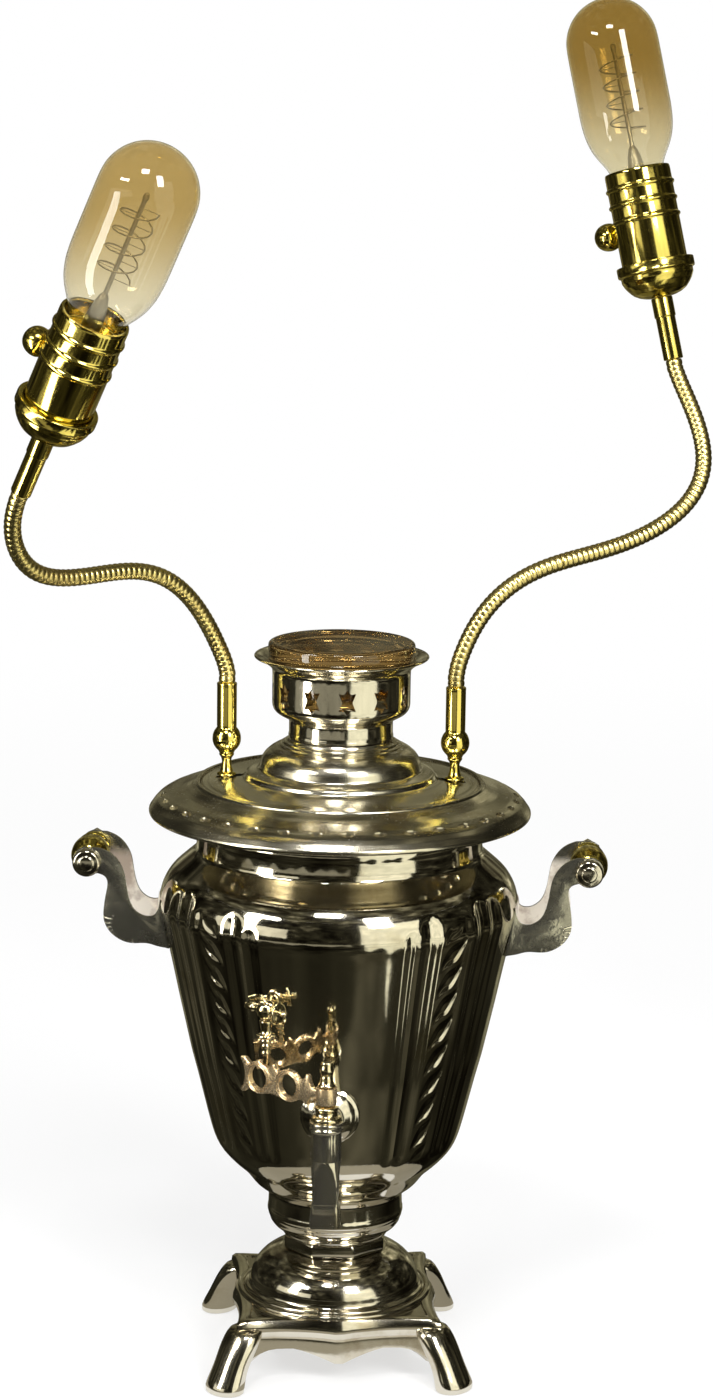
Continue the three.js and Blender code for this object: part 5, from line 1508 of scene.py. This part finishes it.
world = bpy.data.worlds.new("studio")
scene.world = world
world.use_nodes = True
tree = world.node_tree
tree.nodes.clear()
background = tree.nodes.new("ShaderNodeBackground")
path = tree.nodes.new("ShaderNodeLightPath").outputs
output = tree.nodes.new("ShaderNodeOutputWorld")
strength = (shownTo(path) > 0.5) * (1 - stage["skyForDiffuse"]) + stage["skyForDiffuse"]
feed(background.inputs["Strength"], strength)
background.inputs["Color"].default_value = stage["white"]
tree.links.new(background.outputs[0], output.inputs[0])

# azimuths in degrees from the front; lengths in metres
ahead, behind, allRound = (-150, 150), (150, 210), (-180, 180)
tableEdge, nearEdge, farEdge, wallReach = 0.062, 0.115, 2.3, 2.2
screens = [
    {"name": "roomScreen", "azimuth": ahead, "low": -0.02, "high": 1.9, "distance": farEdge, "shade": 0.8},
    {"name": "backScreen", "azimuth": behind, "low": -0.02, "high": 1.9, "distance": farEdge, "shade": 6.0},
    {"name": "nearTable", "azimuth": allRound, "flat": 0.003, "near": tableEdge, "far": nearEdge,
     "glow": (0.44, 0.41, 0.33)},
    {"name": "tableScreen", "azimuth": ahead, "flat": 0.003, "near": nearEdge, "far": farEdge,
     "shade": 0.75},
    {"name": "backTable", "azimuth": behind, "flat": 0.003, "near": nearEdge, "far": farEdge, "shade": 5.0},
    {"name": "ceilingScreen", "azimuth": allRound, "flat": 1.9, "near": 0.02, "far": farEdge, "shade": 2.6},
    {"name": "rightWindow", "azimuth": (16, 60), "low": 0.02, "high": 1.55, "distance": wallReach,
     "glow": (1.5, 1.45, 1.15)},
    {"name": "rightPatch", "azimuth": (18, 64), "flat": 0.006, "near": 0.46, "far": wallReach,
     "glow": (1.3, 1.27, 1.0), "ragged": 0.45},
    {"name": "farPatch", "azimuth": (-80, 10), "flat": 0.006, "near": 1.15, "far": 2.1,
     "glow": (0.36, 0.34, 0.26), "ragged": 0.25},
    {"name": "bulbStrip", "azimuth": (-63, -51), "low": 0.17, "high": 0.6, "distance": 0.55,
     "glow": (14, 13.6, 12.4)},
    {"name": "leftWindow", "azimuth": (-82, -30), "low": 0.35, "high": 0.85, "distance": wallReach,
     "glow": (1.1, 1.05, 0.85)},
]
folds = {
    # soft clouds from dark over middle to light
    "noise": {"scale": 2.2, "detail": 4.0, "roughness": 0.6}, "stops": (0.40, 0.57, 0.72),
    "gloom": [(0.006, 0.005, 0.003), (0.045, 0.042, 0.026), (0.24, 0.22, 0.15)], "glow": (0.75, 1, 1.15),
    "ragged": (23, 7),  # waves round the near edge of a patch
}


def screenFinish(details):
    finish = Finish(details["name"])
    spot = finish.node("ShaderNodeTexCoord", output="Object")
    clouds = finish.noise(spot, **folds["noise"])
    if "glow" in details:
        colours = [tuple(c * share for c in details["glow"]) for share in folds["glow"]]
    else:
        colours = [tuple(c * details["shade"] for c in colour) for colour in folds["gloom"]]
    colour = finish.ramp(clouds, *zip(folds["stops"], colours))
    return finish.surface(finish.node("ShaderNodeEmission", Color=colour, Strength=1.0))


def addScreen(details):
    deselectAll()
    bpy.ops.mesh.primitive_grid_add(x_subdivisions=32, y_subdivisions=4, size=2)
    screen = bpy.context.object
    screen.name = details["name"]
    first, last = [math.radians(a) for a in details["azimuth"]]
    for vertex in screen.data.vertices:
        angle = first + (last - first) * (vertex.co.x + 1) / 2
        share = (vertex.co.y + 1) / 2
        reach, height = details.get("distance"), details.get("flat")
        if height is None:
            height = details["low"] + (details["high"] - details["low"]) * share
        else:
            fine, coarse = folds["ragged"]
            ragged = details.get("ragged", 0) * math.sin(angle * fine) * math.sin(angle * coarse + 1)
            reach = details["near"] * (1 + ragged) * (1 - share) + details["far"] * share
        vertex.co = (reach * math.sin(angle), -reach * math.cos(angle), height)
    screen.data.materials.append(screenFinish(details))
    screen.visible_camera = False
    screen.visible_diffuse = False
    screen.visible_transmission = False
    screen.visible_shadow = False


for details in screens:
    addScreen(details)

lamps = [
    {"name": "windowLamp", "azimuth": 30, "elevation": 33, "distance": 1.9,
     "size": (0.42, 0.7), "power": 20},
    {"name": "leftLamp", "azimuth": -50, "elevation": 33, "distance": 1.9,
     "size": (0.6, 0.16), "power": 8},
    {"name": "frontLamp", "azimuth": -6, "elevation": 52, "distance": 1.9,
     "size": (0.45, 0.3), "power": 14},
]
lookAt = Vector((axisPoint.x, axisPoint.y, 0.3))
for details in lamps:
    light = bpy.data.lights.new(details["name"], "AREA")
    light.shape = "RECTANGLE"
    light.size, light.size_y = details["size"]
    light.energy = details["power"]
    lamp = bpy.data.objects.new(details["name"], light)
    scene.collection.objects.link(lamp)
    azimuth, elevation = math.radians(details["azimuth"]), math.radians(details["elevation"])
    flat = Vector((math.sin(azimuth), -math.cos(azimuth), 0))
    direction = flat * math.cos(elevation) + Vector((0, 0, math.sin(elevation)))
    lamp.location = lookAt + direction * details["distance"]
    lamp.rotation_euler = direction.to_track_quat("Z", "Y").to_euler()
print("stage made")


# Camera: where the photograph was taken from

view = {"lens": 89.8, "sensor": 36, "distance": 1.66, "height": 0.6557,
        "pitch": 11.05, "azimuth": 2.5, "roll": -0.75,  # degrees
        "focalPixels": 3493.0, "middlePixel": 356.5, "axisPixel": 341.0}
azimuth, pitch, roll = [math.radians(view[key]) for key in ("azimuth", "pitch", "roll")]
yaw = azimuth - (view["middlePixel"] - view["axisPixel"]) / view["focalPixels"]
forward = Vector((-math.sin(yaw) * math.cos(pitch), math.cos(yaw) * math.cos(pitch), -math.sin(pitch)))
right = Vector((math.cos(yaw), math.sin(yaw), 0))
upward = right.cross(forward)
cameraRight = right * math.cos(roll) - upward * math.sin(roll)
cameraUp = right * math.sin(roll) + upward * math.cos(roll)
turn = Matrix((cameraRight, cameraUp, -forward)).transposed()
cameraData = bpy.data.cameras.new("photoCamera")
cameraData.sensor_fit = "VERTICAL"
cameraData.sensor_height = view["sensor"]
cameraData.lens = view["lens"]
camera = bpy.data.objects.new("photoCamera", cameraData)
scene.collection.objects.link(camera)
away = Vector((math.sin(azimuth), -math.cos(azimuth), 0)) * view["distance"]
spot = axisPoint + away + Vector((0, 0, view["height"]))
camera.matrix_world = Matrix.Translation(spot) @ turn.to_4x4()
scene.camera = camera
scene.view_settings.view_transform = "Standard"
print("camera placed")
